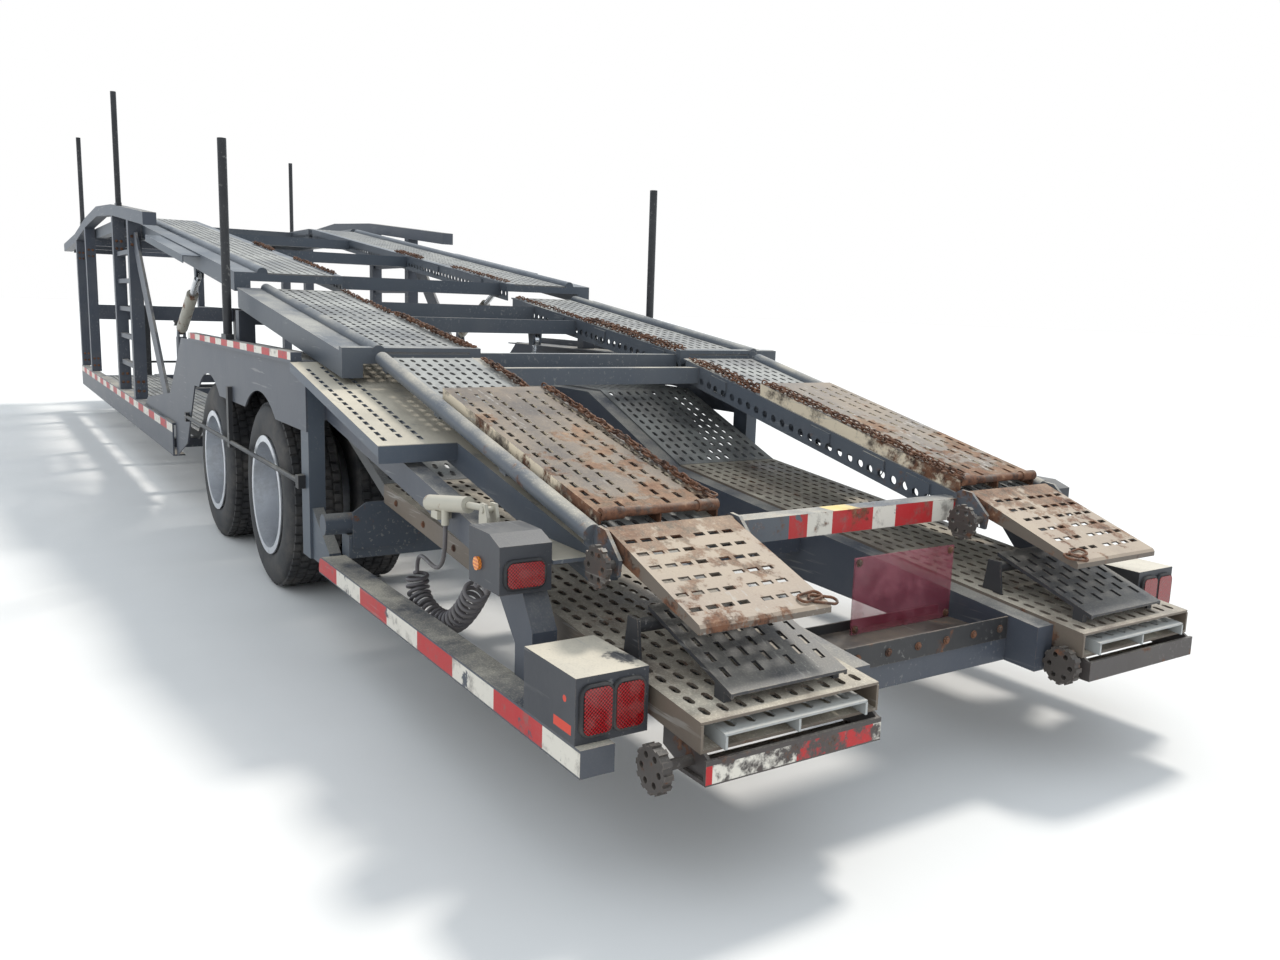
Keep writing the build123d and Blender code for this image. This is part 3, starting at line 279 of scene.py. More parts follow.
scratch_group, t, where, given, result = new_group("Scratches", [("Amount", FLOAT, 0.5)], [("Mask", FLOAT)])
lines = t.noise(where, 60.0, 3.0, 0.6, stretch=(0.06, 1.0, 1.0))
places = t.patches(where, 2.5, 0.45, 0.65, 3.0, 0.55)
t.put(result[0], t.times(t.spread(lines, 0.6, 0.66), places, given["Amount"]))

TAPE_START = 40.0
tape_group, t, where, given, result = new_group(
    "Warning tape", [("Along", FLOAT, 0.0), ("Stripe", FLOAT, 0.28), ("Red", FLOAT, 0.5)],
    [("Colour", COLOUR)],
)
pair = t.times(given["Stripe"], 2.0)
turn = t.math("FRACT", t.math("DIVIDE", t.plus(given["Along"], TAPE_START), pair))
stripes = t.mix(t.under(turn, given["Red"]), rgb(214, 208, 196), rgb(178, 34, 38))
grime = t.patches(where, 14.0, 0.5, 0.7)
t.put(result[0], t.mix(t.times(grime, 0.7), stripes, rgb(104, 96, 90)))
print("shared effects:", [group.name for group in bpy.data.node_groups])

# %% [markdown]
# Painted and bare metal
#
# One function lays the coats of a painted part in the order in which they came: paint, fading,
# scratches and worn edges, rust, and the dust on top. Marks such as tape go in by a mask that is
# worked out from Object coordinates, which stay with the part when it moves.


# %% The coats of paint
CHARCOAL, BLACK, STEEL, CREAM = (66, 71, 81), (32, 33, 37), (96, 96, 96), (205, 196, 178)
FADING, FADED_GREY = 0.2, 0.13


def finish(name):
    """New material with an empty node tree, its helper, its Object coordinates and its shader."""
    material = bpy.data.materials.new(name)
    material.use_nodes = True
    material.node_tree.nodes.clear()
    t = Tree(material.node_tree)
    shader = t.node("ShaderNodeBsdfPrincipled")
    t.node("ShaderNodeOutputMaterial", {0: shader.outputs[0]})
    return material, t, t.where(), shader


def effect(t, group, **amounts):
    """One of the shared effects at its own amounts: its masks and colours."""
    inputs = {key.capitalize(): value for key, value in amounts.items()}
    return t.node("ShaderNodeGroup", inputs, node_tree=group).outputs


def painted(name, paint, dust=0.6, rust=0.2, wear=0.6, scratches=0.3, gloss=0.45, rust_scale=5.0,
            dust_colour=(186, 179, 165), rear_rust=0.0, rusting=(-5.2, -7.0), marks=None,
            holes=None):
    """Paint over metal, with fading, scratches, worn edges, rust and dust, in that order."""
    material, t, where, shader = finish(name)
    faded = tuple((1 - FADING) * part + FADING * FADED_GREY for part in rgb(*paint)[:3]) + (1.0,)
    colour = t.mix(t.patches(where, 2.2, 0.35, 0.75, 4.0, 0.6), rgb(*paint), faded)
    if marks:
        mask, mark_colour = marks(t, where)
        colour = t.mix(mask, colour, mark_colour)
    scratch = effect(t, scratch_group, amount=scratches)[0]
    colour = t.mix(scratch, colour, rgb(168, 166, 160))
    worn = effect(t, wear_group, width=0.005, amount=wear)[0]
    colour = t.mix(worn, colour, rgb(118, 110, 102))
    cover = rust
    if rear_rust:
        cover = t.plus(rust, t.spread(t.parts(where)[0], *rusting, 0.0, rear_rust))
    corroded, rust_colour = effect(t, rust_group, coverage=cover, scale=rust_scale)
    colour = t.mix(corroded, colour, rust_colour)
    dusty = effect(t, dust_group, amount=dust, scale=3.0)[0]
    relief = t.plus(t.times(corroded, t.noise(where, 220.0, 3.0)), t.noise(where, 30.0, 2.0))
    t.fill(shader, {
        "Base Color": t.mix(dusty, colour, rgb(*dust_colour)),
        "Roughness": t.spread(t.math("MAXIMUM", corroded, dusty), 0.0, 0.8, gloss, 0.88),
        "Metallic": t.times(worn, 0.5),
        "Specular IOR Level": 0.35,
        "Normal": t.bump(relief, 0.25, 0.002),
    })
    if holes:
        t.put(shader.inputs["Alpha"], holes(t, where))
    return material


print("paint coats ready")

# %% [markdown]
# Tape, stripes and see-through holes
#
# Marks are masks. Each function below says where one kind of mark sits, from the part's own
# coordinates and the direction that its surface faces, and the warning-tape group colours the tape.


# %% Where the tape sits
OUTER_FACE = 1.275
BUMPER_TAPE = (0.344, 0.392)
TUBE_FRONT = place(520, 0, 0).x
TUBE_TAPE_MIDDLE, TUBE_TAPE_REACH = -0.12, 0.40
SQUARE_MIDDLE, SQUARE_REACH = 0.02, 0.06


def torn_tape(t, where, mask, along, scale, wear, **look):
    """Warning tape inside a mask, torn away in patches: its mask and its colour."""
    left = t.patches(where, scale, *wear, 5.0)
    return t.times(mask, left), effect(t, tape_group, along=along, **look)[0]


def side_tape(low, high, stripe):
    """Tape along the outer side faces between two heights."""

    def marks(t, where):
        x, y, z = t.parts(where)
        sideways = t.over(t.size(t.facing()[1]), 0.7)
        outer = t.over(t.size(y), OUTER_FACE)
        mask = t.times(sideways, outer, t.over(z, low), t.under(z, high))
        return torn_tape(t, where, mask, x, 9.0, (0.66, 0.6), stripe=stripe)

    return marks


def bumper_tape(t, where):
    """Worn tape across the left bumper's rear face."""
    x, y, z = t.parts(where)
    low, high = BUMPER_TAPE
    rearward = t.under(t.facing()[0], -0.8)
    mask = t.times(rearward, t.over(y, 0.0), t.over(z, low), t.under(z, high))
    return torn_tape(t, where, mask, y, 7.0, (0.56, 0.46), stripe=0.27)


def tube_tape(t, where):
    """Tape on the rear face of the rearmost cross tube, and a yellow square on its top."""
    x, y, z = t.parts(where)
    normal = t.facing()
    at_tube = t.under(x, TUBE_FRONT)
    rear = t.times(t.under(normal[0], -0.8), at_tube, t.near(y, TUBE_TAPE_MIDDLE, TUBE_TAPE_REACH))
    top = t.times(t.over(normal[2], 0.8), at_tube, t.near(y, SQUARE_MIDDLE, SQUARE_REACH))
    both = t.math("MAXIMUM", rear, top)
    mask, tape = torn_tape(t, where, both, y, 9.0, (0.68, 0.62), stripe=0.15, red=0.63)
    return mask, t.mix(top, tape, rgb(222, 190, 96))


print("tape ready")


# %% Worn and chalky marks, painted shade on the flip ramps, and the round holes of the inner webs
LOW_BOX_TOP = 0.62
REFLECTOR, REFLECTOR_REACH = place(95, 0, 439), (0.046, 0.013)
MARKER, MARKER_RADIUS = place(85, 0, 512), 0.009
PLATES_START = place(1300, 0, 0).x
HOLE_RADIUS, HOLE_PITCH, INNER_WEB = 0.016, 0.062, 0.565


def lamp_box_marks(t, where):
    """Chalky top, side reflector and round side marker of the low lamp box."""
    x, y, z = t.parts(where)
    normal = t.facing()
    low_box = t.under(z, LOW_BOX_TOP)
    top = t.times(t.over(normal[2], 0.8), low_box, t.patches(where, 7.0, 0.66, 0.56))
    reach_x, reach_z = REFLECTOR_REACH
    reflector = t.times(t.near(x, REFLECTOR.x, reach_x), t.near(z, REFLECTOR.z, reach_z))
    off = t.vector(t.minus(x, MARKER.x), 0.0, t.minus(z, MARKER.z))
    both = t.math("MAXIMUM", reflector, t.under(t.distance(off), MARKER_RADIUS))
    side_marks = t.times(t.over(t.size(normal[1]), 0.8), low_box, both)
    return t.math("MAXIMUM", top, side_marks), t.mix(side_marks, rgb(*CREAM), rgb(206, 62, 40))


def fitting_marks(t, where):
    """The lock cylinders are chalky; the plates and canisters in front of them are charcoal."""
    return t.over(t.parts(where)[0], PLATES_START), rgb(70, 77, 87)


def slope_marks(t, where):
    """Pale scuffed tops of the fender slopes, worn through in patches."""
    return t.times(t.over(t.facing()[2], 0.5), t.patches(where, 5.0, 0.7, 0.56)), rgb(176, 168, 152)


def flip_painted_shade(t, where):
    """Painted shade: the upright edges of a flip ramp are darkened to grey-brown, under its polished top."""
    # painted shade: faces that don't look up get a darker grey-brown than the lit top
    return t.times(t.under(t.facing()[2], 0.5), 0.85), rgb(96, 88, 80)


def skirt_marks(t, where):
    """Chalky cream skirts along the sides of a raised plate."""
    sideways = t.over(t.size(t.facing()[1]), 0.6)
    return t.times(sideways, t.patches(where, 6.0, 0.66, 0.5)), rgb(226, 210, 184)


def web_holes(line, drop):
    """Opacity of an inner web with one row of round holes, a set drop below the deck's line."""
    start, end = (place(station, 0, height) for station, height in line)
    slope = (end.z - start.z) / (end.x - start.x)

    def holes(t, where):
        x, y, z = t.parts(where)
        along = t.minus(x, start.x)
        height = t.minus(z, t.plus(t.times(along, slope), start.z - drop))
        turn = t.minus(t.math("FRACT", t.math("DIVIDE", along, HOLE_PITCH)), 0.5)
        inside = t.under(t.distance(t.vector(t.times(turn, HOLE_PITCH), 0.0, height)), HOLE_RADIUS)
        web = t.over(t.size(t.facing()[1]), 0.9)
        inner = t.under(t.size(y), INNER_WEB)
        return t.minus(1.0, t.times(inside, web, inner))

    return holes


print("marks and holes ready")

# %% [markdown]
# One finish for each kind of part
#
# The frame is charcoal under pale dust, the treads are darker and scraped by tyres, and everything
# at the tail is rusty, because that is where wheels and chains rub. The tape is on the side rails and
# sills, the fenders, the left bumper and the rear cross tube.

# %% The painted finishes
TAIL_LINE = ((430.0, 837.0), (2235.0, 1240.0))
REAR_LINE = ((2265.0, 1262.0), (4235.0, 1530.0))
MID_LINE = ((4300.0, 1620.0), (8970.0, 2194.0))
FRONT_LINE = ((9060.0, 2200.0), (14560.0, 2200.0))

frame_paint = painted("charcoal frame paint", CHARCOAL, dust=0.75, rust=0.10, wear=0.5, rear_rust=0.12)
dark_paint = painted("black chassis paint", BLACK, dust=0.5, rust=0.16, wear=0.35, rear_rust=0.1)
rail_paint = painted("rail paint with tape", CHARCOAL, dust=1.0, rust=0.08, wear=0.5,
                     dust_colour=CREAM, marks=side_tape(0.335, 0.398, 0.30))
sill_paint = painted("sill paint with tape", CHARCOAL, dust=0.9, rust=0.08,
                     marks=side_tape(0.50, 0.56, 0.30))
fender_paint = painted("fender paint with tape", CHARCOAL, dust=0.85, rust=0.1, wear=0.5,
                       marks=side_tape(1.205, 1.262, 0.16))
slope_paint = painted("fender slope paint", (78, 86, 97), dust=0.9, rust=0.26, dust_colour=CREAM,
                      rust_scale=3.4, marks=slope_marks)
post_paint = painted("rear post paint", (74, 82, 92), rust=0.06, wear=0.5)
bumper_paint = painted("bumper paint with tape", (70, 64, 62), dust=0.55, rust=0.42, wear=0.7, rust_scale=7.0,
                       marks=bumper_tape)
tread_paint = painted("scraped tread paint", STEEL, dust=0.75, rust=0.24, wear=0.8, scratches=0.8,
                      rear_rust=0.18, dust_colour=(188, 188, 182))
raised_paint = painted("raised plate paint", (76, 66, 58), dust=0.42, rust=0.28, wear=1.0, scratches=0.7,
                       rust_scale=4.0, rear_rust=0.38, dust_colour=(196, 174, 146), marks=skirt_marks)
bridge_paint = painted("bridge plate paint", (50, 50, 53), dust=0.4, rust=0.24, wear=1.0, scratches=0.8)
# the flip ramp's upright faces carry painted shade from its marks
flip_paint = painted("flip ramp steel", (158, 141, 124), dust=0.45, rust=0.48, wear=0.9, scratches=0.6,
                     rust_scale=8.0, dust_colour=(200, 186, 164), gloss=0.6, rear_rust=0.3,
                     rusting=(-7.0, -6.8), marks=flip_painted_shade)
lower_tail_paint = painted("lower tail paint", (110, 98, 86), dust=0.95, rust=0.38, wear=0.9,
                           dust_colour=CREAM, rust_scale=4.0, scratches=0.6)
tail_frame_paint = painted("tail deck paint", (84, 90, 98), dust=0.8, rust=0.26, wear=0.8, rear_rust=0.2,
                           dust_colour=CREAM, marks=tube_tape, holes=web_holes(TAIL_LINE, 0.070))
rear_frame_paint = painted("rear deck paint", (72, 78, 86), dust=0.75, rust=0.16, wear=0.7,
                           dust_colour=(190, 186, 176), holes=web_holes(REAR_LINE, 0.066))
mid_frame_paint = painted("middle deck paint", (68, 75, 84), rust=0.12, dust_colour=(164, 166, 168),
                          holes=web_holes(MID_LINE, 0.066))
front_frame_paint = painted("front deck paint", (72, 78, 86), dust=0.7, rust=0.1,
                            holes=web_holes(FRONT_LINE, 0.066))
rusty_steel = painted("rusty steel", (78, 60, 50), dust=0.25, rust=0.7, gloss=0.6, rust_scale=14.0)
zinc = painted("worn bright ramp steel", (168, 170, 168), dust=0.5, wear=0.5, scratches=0.9, gloss=0.4)
lamp_box_paint = painted("speckled lamp box paint", (52, 54, 60), dust=0.5, rust=0.1, wear=0.5,
                         dust_colour=(150, 146, 138), marks=lamp_box_marks)
cylinder_paint = painted("cylinder paint", (168, 164, 152), dust=0.5, rust=0.45, rust_scale=9.0)
fitting_paint = painted("rear fitting paint", (186, 180, 164), dust=0.5, rust=0.36, rust_scale=9.0,
                        marks=fitting_marks)
tray_paint = painted("tray paint", (40, 40, 42), dust=0.5, rust=0.36, wear=0.8, rust_scale=6.0,
                     dust_colour=(150, 132, 112))
winch_steel = painted("oily winch steel", (70, 64, 60), dust=0.3, rust=0.4, wear=0.7, rust_scale=16.0)
forged = painted("bare forged steel", (96, 94, 92), dust=0.2, rust=0.3, wear=0.7, gloss=0.4)
print(len(bpy.data.materials), "materials so far")

# %% [markdown]
# Rubber, lenses, bright metal and the red sheet
#
# These four need no paint coats, so each has a short tree of its own.


# %% Tyres, lenses, rods, rims and the red sheet
PRISM_RATE = 620.0


def rubber(name, colour, pale, roughness):
    """Rubber with a fine grain under pale dust."""
    material, t, where, shader = finish(name)
    dusty = t.times(t.patches(where, 5.0, 0.4, 0.72), 0.75)
    t.fill(shader, {
        "Base Color": t.mix(dusty, rgb(*colour), rgb(*pale)),
        "Roughness": t.spread(dusty, 0.0, 0.7, roughness, 0.92),
        "Normal": t.bump(t.noise(where, 90.0, 4.0), 0.2, 0.001),
    })
    return material


def lens(name, colour, deep):
    """Moulded lens: fine prisms under a gloss coat."""
    material, t, where, shader = finish(name)
    x, y, z = t.parts(where)
    prisms = t.times(t.math("SINE", t.times(y, PRISM_RATE)), t.math("SINE", t.times(z, PRISM_RATE)))
    murky = t.patches(where, 26.0, 0.4, 0.7, 4.0, 0.55)
    glow = t.mix(t.spread(prisms, -0.6, 0.8), rgb(*deep), rgb(*colour))
    t.fill(shader, {
        "Base Color": t.mix(t.times(murky, 0.16), glow, rgb(150, 110, 100)),
        "Roughness": t.spread(murky, 0.0, 1.0, 0.18, 0.45),
        "Coat Weight": 0.25,
        "Normal": t.bump(prisms, 0.3, 0.001),
    })
    return material


def bare_metal(name, colour, roughness, brushed, grime):
    """Bright metal with brush strokes and a little dirt."""
    material, t, where, shader = finish(name)
    strokes = t.noise(where, 120.0, 3.0, 0.6, stretch=brushed)
    dirt = t.times(t.patches(where, 8.0, 0.42, 0.7), grime)
    rough = t.spread(strokes, 0.3, 0.7, roughness, roughness + 0.18)
    t.fill(shader, {
        "Base Color": t.mix(dirt, rgb(*colour), rgb(92, 88, 82)),
        "Roughness": t.plus(rough, t.times(dirt, 0.4)),
        "Metallic": t.minus(1.0, dirt),
        "Normal": t.bump(strokes, 0.08, 0.001),
    })
    return material


tyre_rubber = rubber("tyre rubber", (38, 38, 40), (96, 92, 88), 0.7)
cord_rubber = rubber("cord rubber", (86, 82, 84), (120, 114, 110), 0.38)
red_lens = lens("red lens", (168, 10, 20), (80, 2, 8))
amber_lens = lens("amber lens", (240, 150, 40), (196, 96, 20))
chrome = bare_metal("chrome rod", (205, 207, 210), 0.12, (1.0, 1.0, 1.0), 0.25)
aluminium = bare_metal("aluminium rim", (214, 216, 220), 0.3, (1.0, 6.0, 1.0), 0.3)

red_sheet, t, where, shader = finish("red sheet")
smear = t.patches(where, 9.0, 0.35, 0.7)
t.fill(shader, {
    "Base Color": t.mix(smear, rgb(138, 48, 66), rgb(164, 92, 104)),
    "Roughness": t.spread(smear, 0.0, 1.0, 0.25, 0.5),
    "Alpha": t.spread(smear, 0.0, 1.0, 0.42, 0.58),
    "Coat Weight": 0.3,
})
print(len(bpy.data.materials), "materials")

# %% [markdown]
# Giving each drawn part its finish
#
# The drawn parts keep their meshes. Only their material slots change, from one short table.

# %% Finishes of the drawn parts
FINISHES = [
    # material, parts
    (frame_paint, "main_beams cross_members towers top_rails gooseneck hinge_stands lamp_arms"),
    (rail_paint, "low_rails"),
    (sill_paint, "side_sills"),
    (post_paint, "rear_posts"),
    (fender_paint, "fenders"),
    (slope_paint, "fender_slopes"),
    (dark_paint, "wheel_guards axles suspension poles landing_legs"),
    (tray_paint, "rear_tray"),
    (tread_paint, "lower_runways front_deck_plates mid_deck_plates rear_deck_plates tail_deck_plates"),
    (lower_tail_paint, "lower_tails"),
    (bumper_paint, "tail_bumpers"),
    (bridge_paint, "bridge_plates"),
    (raised_paint, "raised_plates"),
    (flip_paint, "flip_ramp_left flip_ramp_right"),
    (zinc, "loading_ramp_left loading_ramp_right"),
    (tail_frame_paint, "tail_deck"),
    (rear_frame_paint, "rear_deck"),
    (mid_frame_paint, "mid_deck"),
    (front_frame_paint, "front_deck"),
    (rusty_steel, "tail_chains rear_chains"),
    (winch_steel, "upper_winches lower_winches"),
    (lamp_box_paint, "lamp_boxes"),
    (cylinder_paint, "mid_lift_barrels rear_lift_barrels"),
    (fitting_paint, "rear_fittings"),
    (chrome, "mid_lift_rods rear_lift_rods"),
    (forged, "kingpin"),
    (red_lens, "red_lenses"),
    (amber_lens, "amber_lenses"),
    (red_sheet, "red_panel"),
    (cord_rubber, "cord_lead_in curly_cord cord_lead_out"),
    (tyre_rubber, "tyres_rear_left tyres_rear_right tyres_front_left tyres_front_right"),
    (aluminium, "rims_rear_left rims_rear_right rims_front_left rims_front_right"),
]
for material, names in FINISHES:
    for name in names.split():
        mesh = nodes[name].data
        mesh.materials.clear()
        mesh.materials.append(material)
print("dressed", sum(len(names.split()) for material, names in FINISHES), "of", len(nodes), "parts")

# %% [markdown]
# The curly cord
#
# A coiled cable carries the current to the high lamp box, and hangs in a bow between the lock
# cylinder and the box. Its route is a smooth NURBS line through listed points. The turns are
# wound round that line, so that they follow every bend, and the whole cable is one spline.

# %% Route of the curly cord
LEAD_IN = [
    (1060, 1212, 758), (1060, 1212, 708), (1089, 1204, 645), (1148, 1191, 598), (1225, 1176, 570),
    (1305, 1163, 562), (1380, 1154, 566), (1438, 1149, 566), (1475, 1146, 552), (1492, 1145, 522),
    (1492, 1145, 490),
]
COIL = [
    (1492, 1145, 440), (1466, 1143, 395), (1410, 1141, 368), (1335, 1140, 358), (1255, 1140, 364),
    (1175, 1142, 384), (1100, 1147, 420), (1030, 1155, 464), (965, 1163, 512), (905, 1174, 558),
    (850, 1186, 600),
]
LEAD_OUT = [
    (814.25, 1193.8, 627.3), (778, 1206, 634), (740, 1218, 630), (705, 1228, 622), (672, 1235, 628),
    (672, 1235, 655),
]


def nurbs_line(name, points, resolution=12):
    """Curve object of one open NURBS spline through control points in metres."""
    curve = bpy.data.curves.new(name, "CURVE")
    curve.dimensions = "3D"
    curve.resolution_u = resolution
    spline = curve.splines.new("NURBS")
    spline.points.add(len(points) - 1)
    for target, point in zip(spline.points, points):
        target.co = (*point, 1.0)
    spline.order_u = 3
    spline.use_endpoint_u = True
    return linked(name, curve)


def walked(line):
    """Points of a curve with no bevel, in order."""
    bpy.context.view_layer.update()
    mesh = bpy.data.meshes.new_from_object(line.evaluated_get(bpy.context.evaluated_depsgraph_get()))
    points = [vertex.co.copy() for vertex in mesh.vertices]
    bpy.data.meshes.remove(mesh)
    return points


def nearest(points, target):
    """Number of the point that lies nearest to a target."""
    return min(range(len(points)), key=lambda i: (points[i] - target).length)


route = nurbs_line("cord route", [place(*point) for point in LEAD_IN + COIL + LEAD_OUT])
route_points = walked(route)
bpy.data.objects.remove(route)
first = nearest(route_points, place(*LEAD_IN[-1]))
last = nearest(route_points, place(*COIL[-1]))
print("route of", len(route_points), "points, the coil from", first, "to", last)

# %% Turns of the curly cord
CABLE_RADIUS, COIL_RADIUS = 0.0075, 0.0375
COIL_TURNS, POINTS_PER_TURN = 20, 14
CROWDING = 0.9

steps = [0.0]
for one, other in zip(route_points[first:last], route_points[first + 1:last + 1]):
    hanging = max(0.0, -(other - one).normalized().z)
    steps.append(steps[-1] + (other - one).length * (1.0 + CROWDING * hanging))


def along_coil(distance):
    """Point and direction of the route at a share of the turns; they lie closer where it hangs."""
    for i in range(len(steps) - 1):
        if steps[i + 1] >= distance or i == len(steps) - 2:
            share = min(1.0, (distance - steps[i]) / (steps[i + 1] - steps[i]))
            one, other = route_points[first + i], route_points[first + i + 1]
            return one.lerp(other, share), (other - one).normalized()


cord_points = route_points[:first:3]
side_vector = Vector((0.0, 1.0, 0.0))
count = COIL_TURNS * POINTS_PER_TURN
for i in range(count + 1):
    middle, direction = along_coil(steps[-1] * i / count)
    side_vector = (side_vector - side_vector.dot(direction) * direction).normalized()
    other_side = direction.cross(side_vector)
    angle = 2 * math.pi * i / POINTS_PER_TURN
    near_end = min(i, count - i) / (0.5 * POINTS_PER_TURN)
    radius = COIL_RADIUS * min(1.0, near_end)
    cord_points.append(middle + radius * (math.cos(angle) * side_vector + math.sin(angle) * other_side))
cord_points += route_points[last + 2::3]
cord_points.append(route_points[-1])
cord = nurbs_line("curly_cord_cable", cord_points)
cord_line = walked(cord)
cord.data.resolution_u = 2
cord.data.bevel_depth = CABLE_RADIUS
cord.data.bevel_resolution = 3
cord.data.use_fill_caps = True
cord.data.materials.append(cord_rubber)
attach(cord, "trailer")
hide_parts("cord_lead_in", "curly_cord", "cord_lead_out")

# %% [markdown]
# Perforated treads
#
# Every deck is a sheet with hundreds of slots. One slot in one small square of sheet is enough: a
# Geometry Nodes tree lays a grid of such squares, stretches them to fill the panel exactly, welds
# them, and puts a plain margin round them. The panel is then laid on the slope of its deck.


# %% Helpers for Geometry Nodes
OBJECT, MATERIAL, INTEGER, GEOMETRY = (
    "NodeSocketObject", "NodeSocketMaterial", "NodeSocketInt", "NodeSocketGeometry"
)
patterns = []


def new_mesh_tree(name, inputs):
    """Empty Geometry Nodes tree, its helper, and the sockets to read and to write."""
    inputs = [("Geometry", GEOMETRY, None), *inputs]
    return new_tree("GeometryNodeTree", name, inputs, [("Geometry", GEOMETRY)])


def shape_of(t, chosen):
    """Mesh or curve of the object that a tree's input names."""
    return t.node("GeometryNodeObjectInfo", {"Object": chosen}).outputs["Geometry"]


def repeat(t, result, points, shape, rotation, material):
    """Last nodes of a tree: the shape at every point, made real and given its finish."""
    inputs = {"Points": points, "Instance": shape_of(t, shape), "Rotation": rotation}
    real = t.out("GeometryNodeRealizeInstances", {0: t.out("GeometryNodeInstanceOnPoints", inputs)})
    t.put(result[0], t.out("GeometryNodeSetMaterial", {"Geometry": real, "Material": material}))


def grow(tree, values, mesh=None):
    """Runs a Geometry Nodes tree once and returns the plain mesh that it makes."""
    carrier = linked("carrier", mesh or bpy.data.meshes.new("carrier"))
    modifier = carrier.modifiers.new("nodes", "NODES")
    modifier.node_group = tree
    for item in tree.interface.items_tree:
        if item.in_out == "INPUT" and item.name in values:
            modifier[item.identifier] = values[item.name]
    graph = bpy.context.evaluated_depsgraph_get()
    made = bpy.data.meshes.new_from_object(carrier.evaluated_get(graph))
    carrier.modifiers.clear()
    bpy.data.objects.remove(carrier)
    return made


def pattern(name, mesh):
    """Mesh that a tree repeats, as an object that isn't rendered and goes at the end."""
    shape = linked(name, mesh)
    shape.hide_render = True
    patterns.append(shape)
    return shape


print("helpers for patterns ready")


# %% Helpers for meshes
def mesh_from(name, points, faces):
    """Plain mesh from its points and its faces."""
    mesh = bpy.data.meshes.new(name)
    mesh.from_pydata(points, [], faces)
    mesh.update()
    return mesh


def joined(name, meshes):
    """One mesh from several."""
    work = bmesh.new()
    for mesh in meshes:
        work.from_mesh(mesh)
    made = bpy.data.meshes.new(name)
    work.to_mesh(made)
    work.free()
    return made


def outwards(mesh):
    """The same closed mesh with its faces pointing outwards."""
    work = bmesh.new()
    work.from_mesh(mesh)
    bmesh.ops.recalc_face_normals(work, faces=work.faces)
    work.to_mesh(mesh)
    work.free()
    return mesh


def skin(name, rings, looped=False, foot=False, head=False):
    """Rings of points joined in order by quads, with a face over the first and the last if asked."""
    many = len(rings[0])
    faces = [tuple(reversed(range(many)))] if foot else []
    for i in range(len(rings) if looped else len(rings) - 1):
        here, there = i * many, (i + 1) % len(rings) * many
        for j in range(many):
            k = (j + 1) % many
            faces.append((here + j, here + k, there + k, there + j))
    if head:
        faces.append(tuple(range((len(rings) - 1) * many, len(rings) * many)))
    return mesh_from(name, [point for ring in rings for point in ring], faces)


def moved_to(mesh, spot):
    """The same mesh, moved from the origin to a point."""
    mesh.transform(Matrix.Translation(spot))
    return mesh


def turns(count):
    """Angles that share a full turn evenly."""
    return [2 * math.pi * i / count for i in range(count)]


def piece(name, meshes, material, body, replaces=(), smooth=False):
    """One object from several meshes, with its finish, on its body."""
    made = joined(name, meshes)
    made.polygons.foreach_set("material_index", [0] * len(made.polygons))
    made.materials.clear()
    made.materials.append(material)
    if smooth:
        made.shade_smooth()
        made.set_sharp_from_angle(angle=math.radians(38))
    shown = linked(name, made)
    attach(shown, body)
    if replaces:
        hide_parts(*replaces)
    print(name, "has", sum(len(face.vertices) - 2 for face in made.polygons), "triangles")


def strip(line, inner, outer, drop, depth):
    """Bar that follows (station, height) points, between two sideways places."""
    rings = []
    for station, height in line:
        top, low = height - drop, height - drop - depth
        corners = ((inner, top), (outer, top), (outer, low), (inner, low))
        rings.append([place(station, y, z) for y, z in corners])
    return outwards(skin("strip", rings, foot=True, head=True))


def height_at(line, station):
    """Height of a straight line between two (station, height) points."""
    (x0, z0), (x1, z1) = line
    return z0 + (z1 - z0) * (station - x0) / (x1 - x0)


print("mesh helpers ready")


# %% One square of sheet with its slot
def slot_square(share_along, share_across, bevel):
    """Unit square of sheet, 1 thick, with a slot whose corners are bevelled."""
    a, b = share_along / 2, share_across / 2
    slot = [
        (a - bevel, -b), (a, bevel - b), (a, b - bevel), (a - bevel, b),
        (bevel - a, b), (-a, b - bevel), (-a, bevel - b), (bevel - a, -b),
    ]
    corners = [(0.5, -0.5), (0.5, 0.5), (-0.5, 0.5), (-0.5, -0.5)]
    points = [(x, y, z) for z in (0.0, -1.0) for x, y in slot + corners]
    top = [
        (11, 8, 0, 7), (8, 1, 0), (8, 9, 2, 1), (9, 3, 2),
        (9, 10, 4, 3), (10, 5, 4), (10, 11, 6, 5), (11, 7, 6),
    ]
    below = [tuple(12 + i for i in reversed(face)) for face in top]
    walls = [(i, (i + 1) % 8, 12 + (i + 1) % 8, 12 + i) for i in range(8)]
    return mesh_from("slot square", points, top + below + walls)


square = pattern("slot square", slot_square(0.66, 0.36, 0.12))

# %% The tree that fills a panel with slots
plate_tree, t, size, result = new_mesh_tree("Perforated panel", [
    ("Length", FLOAT, 1.0), ("Width", FLOAT, 0.4), ("Thickness", FLOAT, 0.008),
    ("Pitch along", FLOAT, 0.064), ("Pitch across", FLOAT, 0.05), ("Margin", FLOAT, 0.014),
    ("Square", OBJECT, None), ("Finish", MATERIAL, None),
])
net, counts, cells = [], [], []
for total, pitch in (("Length", "Pitch along"), ("Width", "Pitch across")):
    net.append(t.minus(size[total], t.times(size["Margin"], 2.0)))
    counts.append(t.math("MAXIMUM", t.math("FLOOR", t.math("DIVIDE", net[-1], size[pitch])), 2.0))
    cells.append(t.math("DIVIDE", net[-1], counts[-1]))
grid = t.out("GeometryNodeMeshGrid", {
    "Size X": t.minus(net[0], cells[0]), "Size Y": t.minus(net[1], cells[1]),
    "Vertices X": counts[0], "Vertices Y": counts[1],
})
laid = t.out("GeometryNodeInstanceOnPoints", {
    "Points": grid, "Instance": shape_of(t, size["Square"]), "Scale": t.vector(*cells, size["Thickness"]),
})
sheet = t.out("GeometryNodeRealizeInstances", {0: laid})
join = t.node("GeometryNodeJoinGeometry")
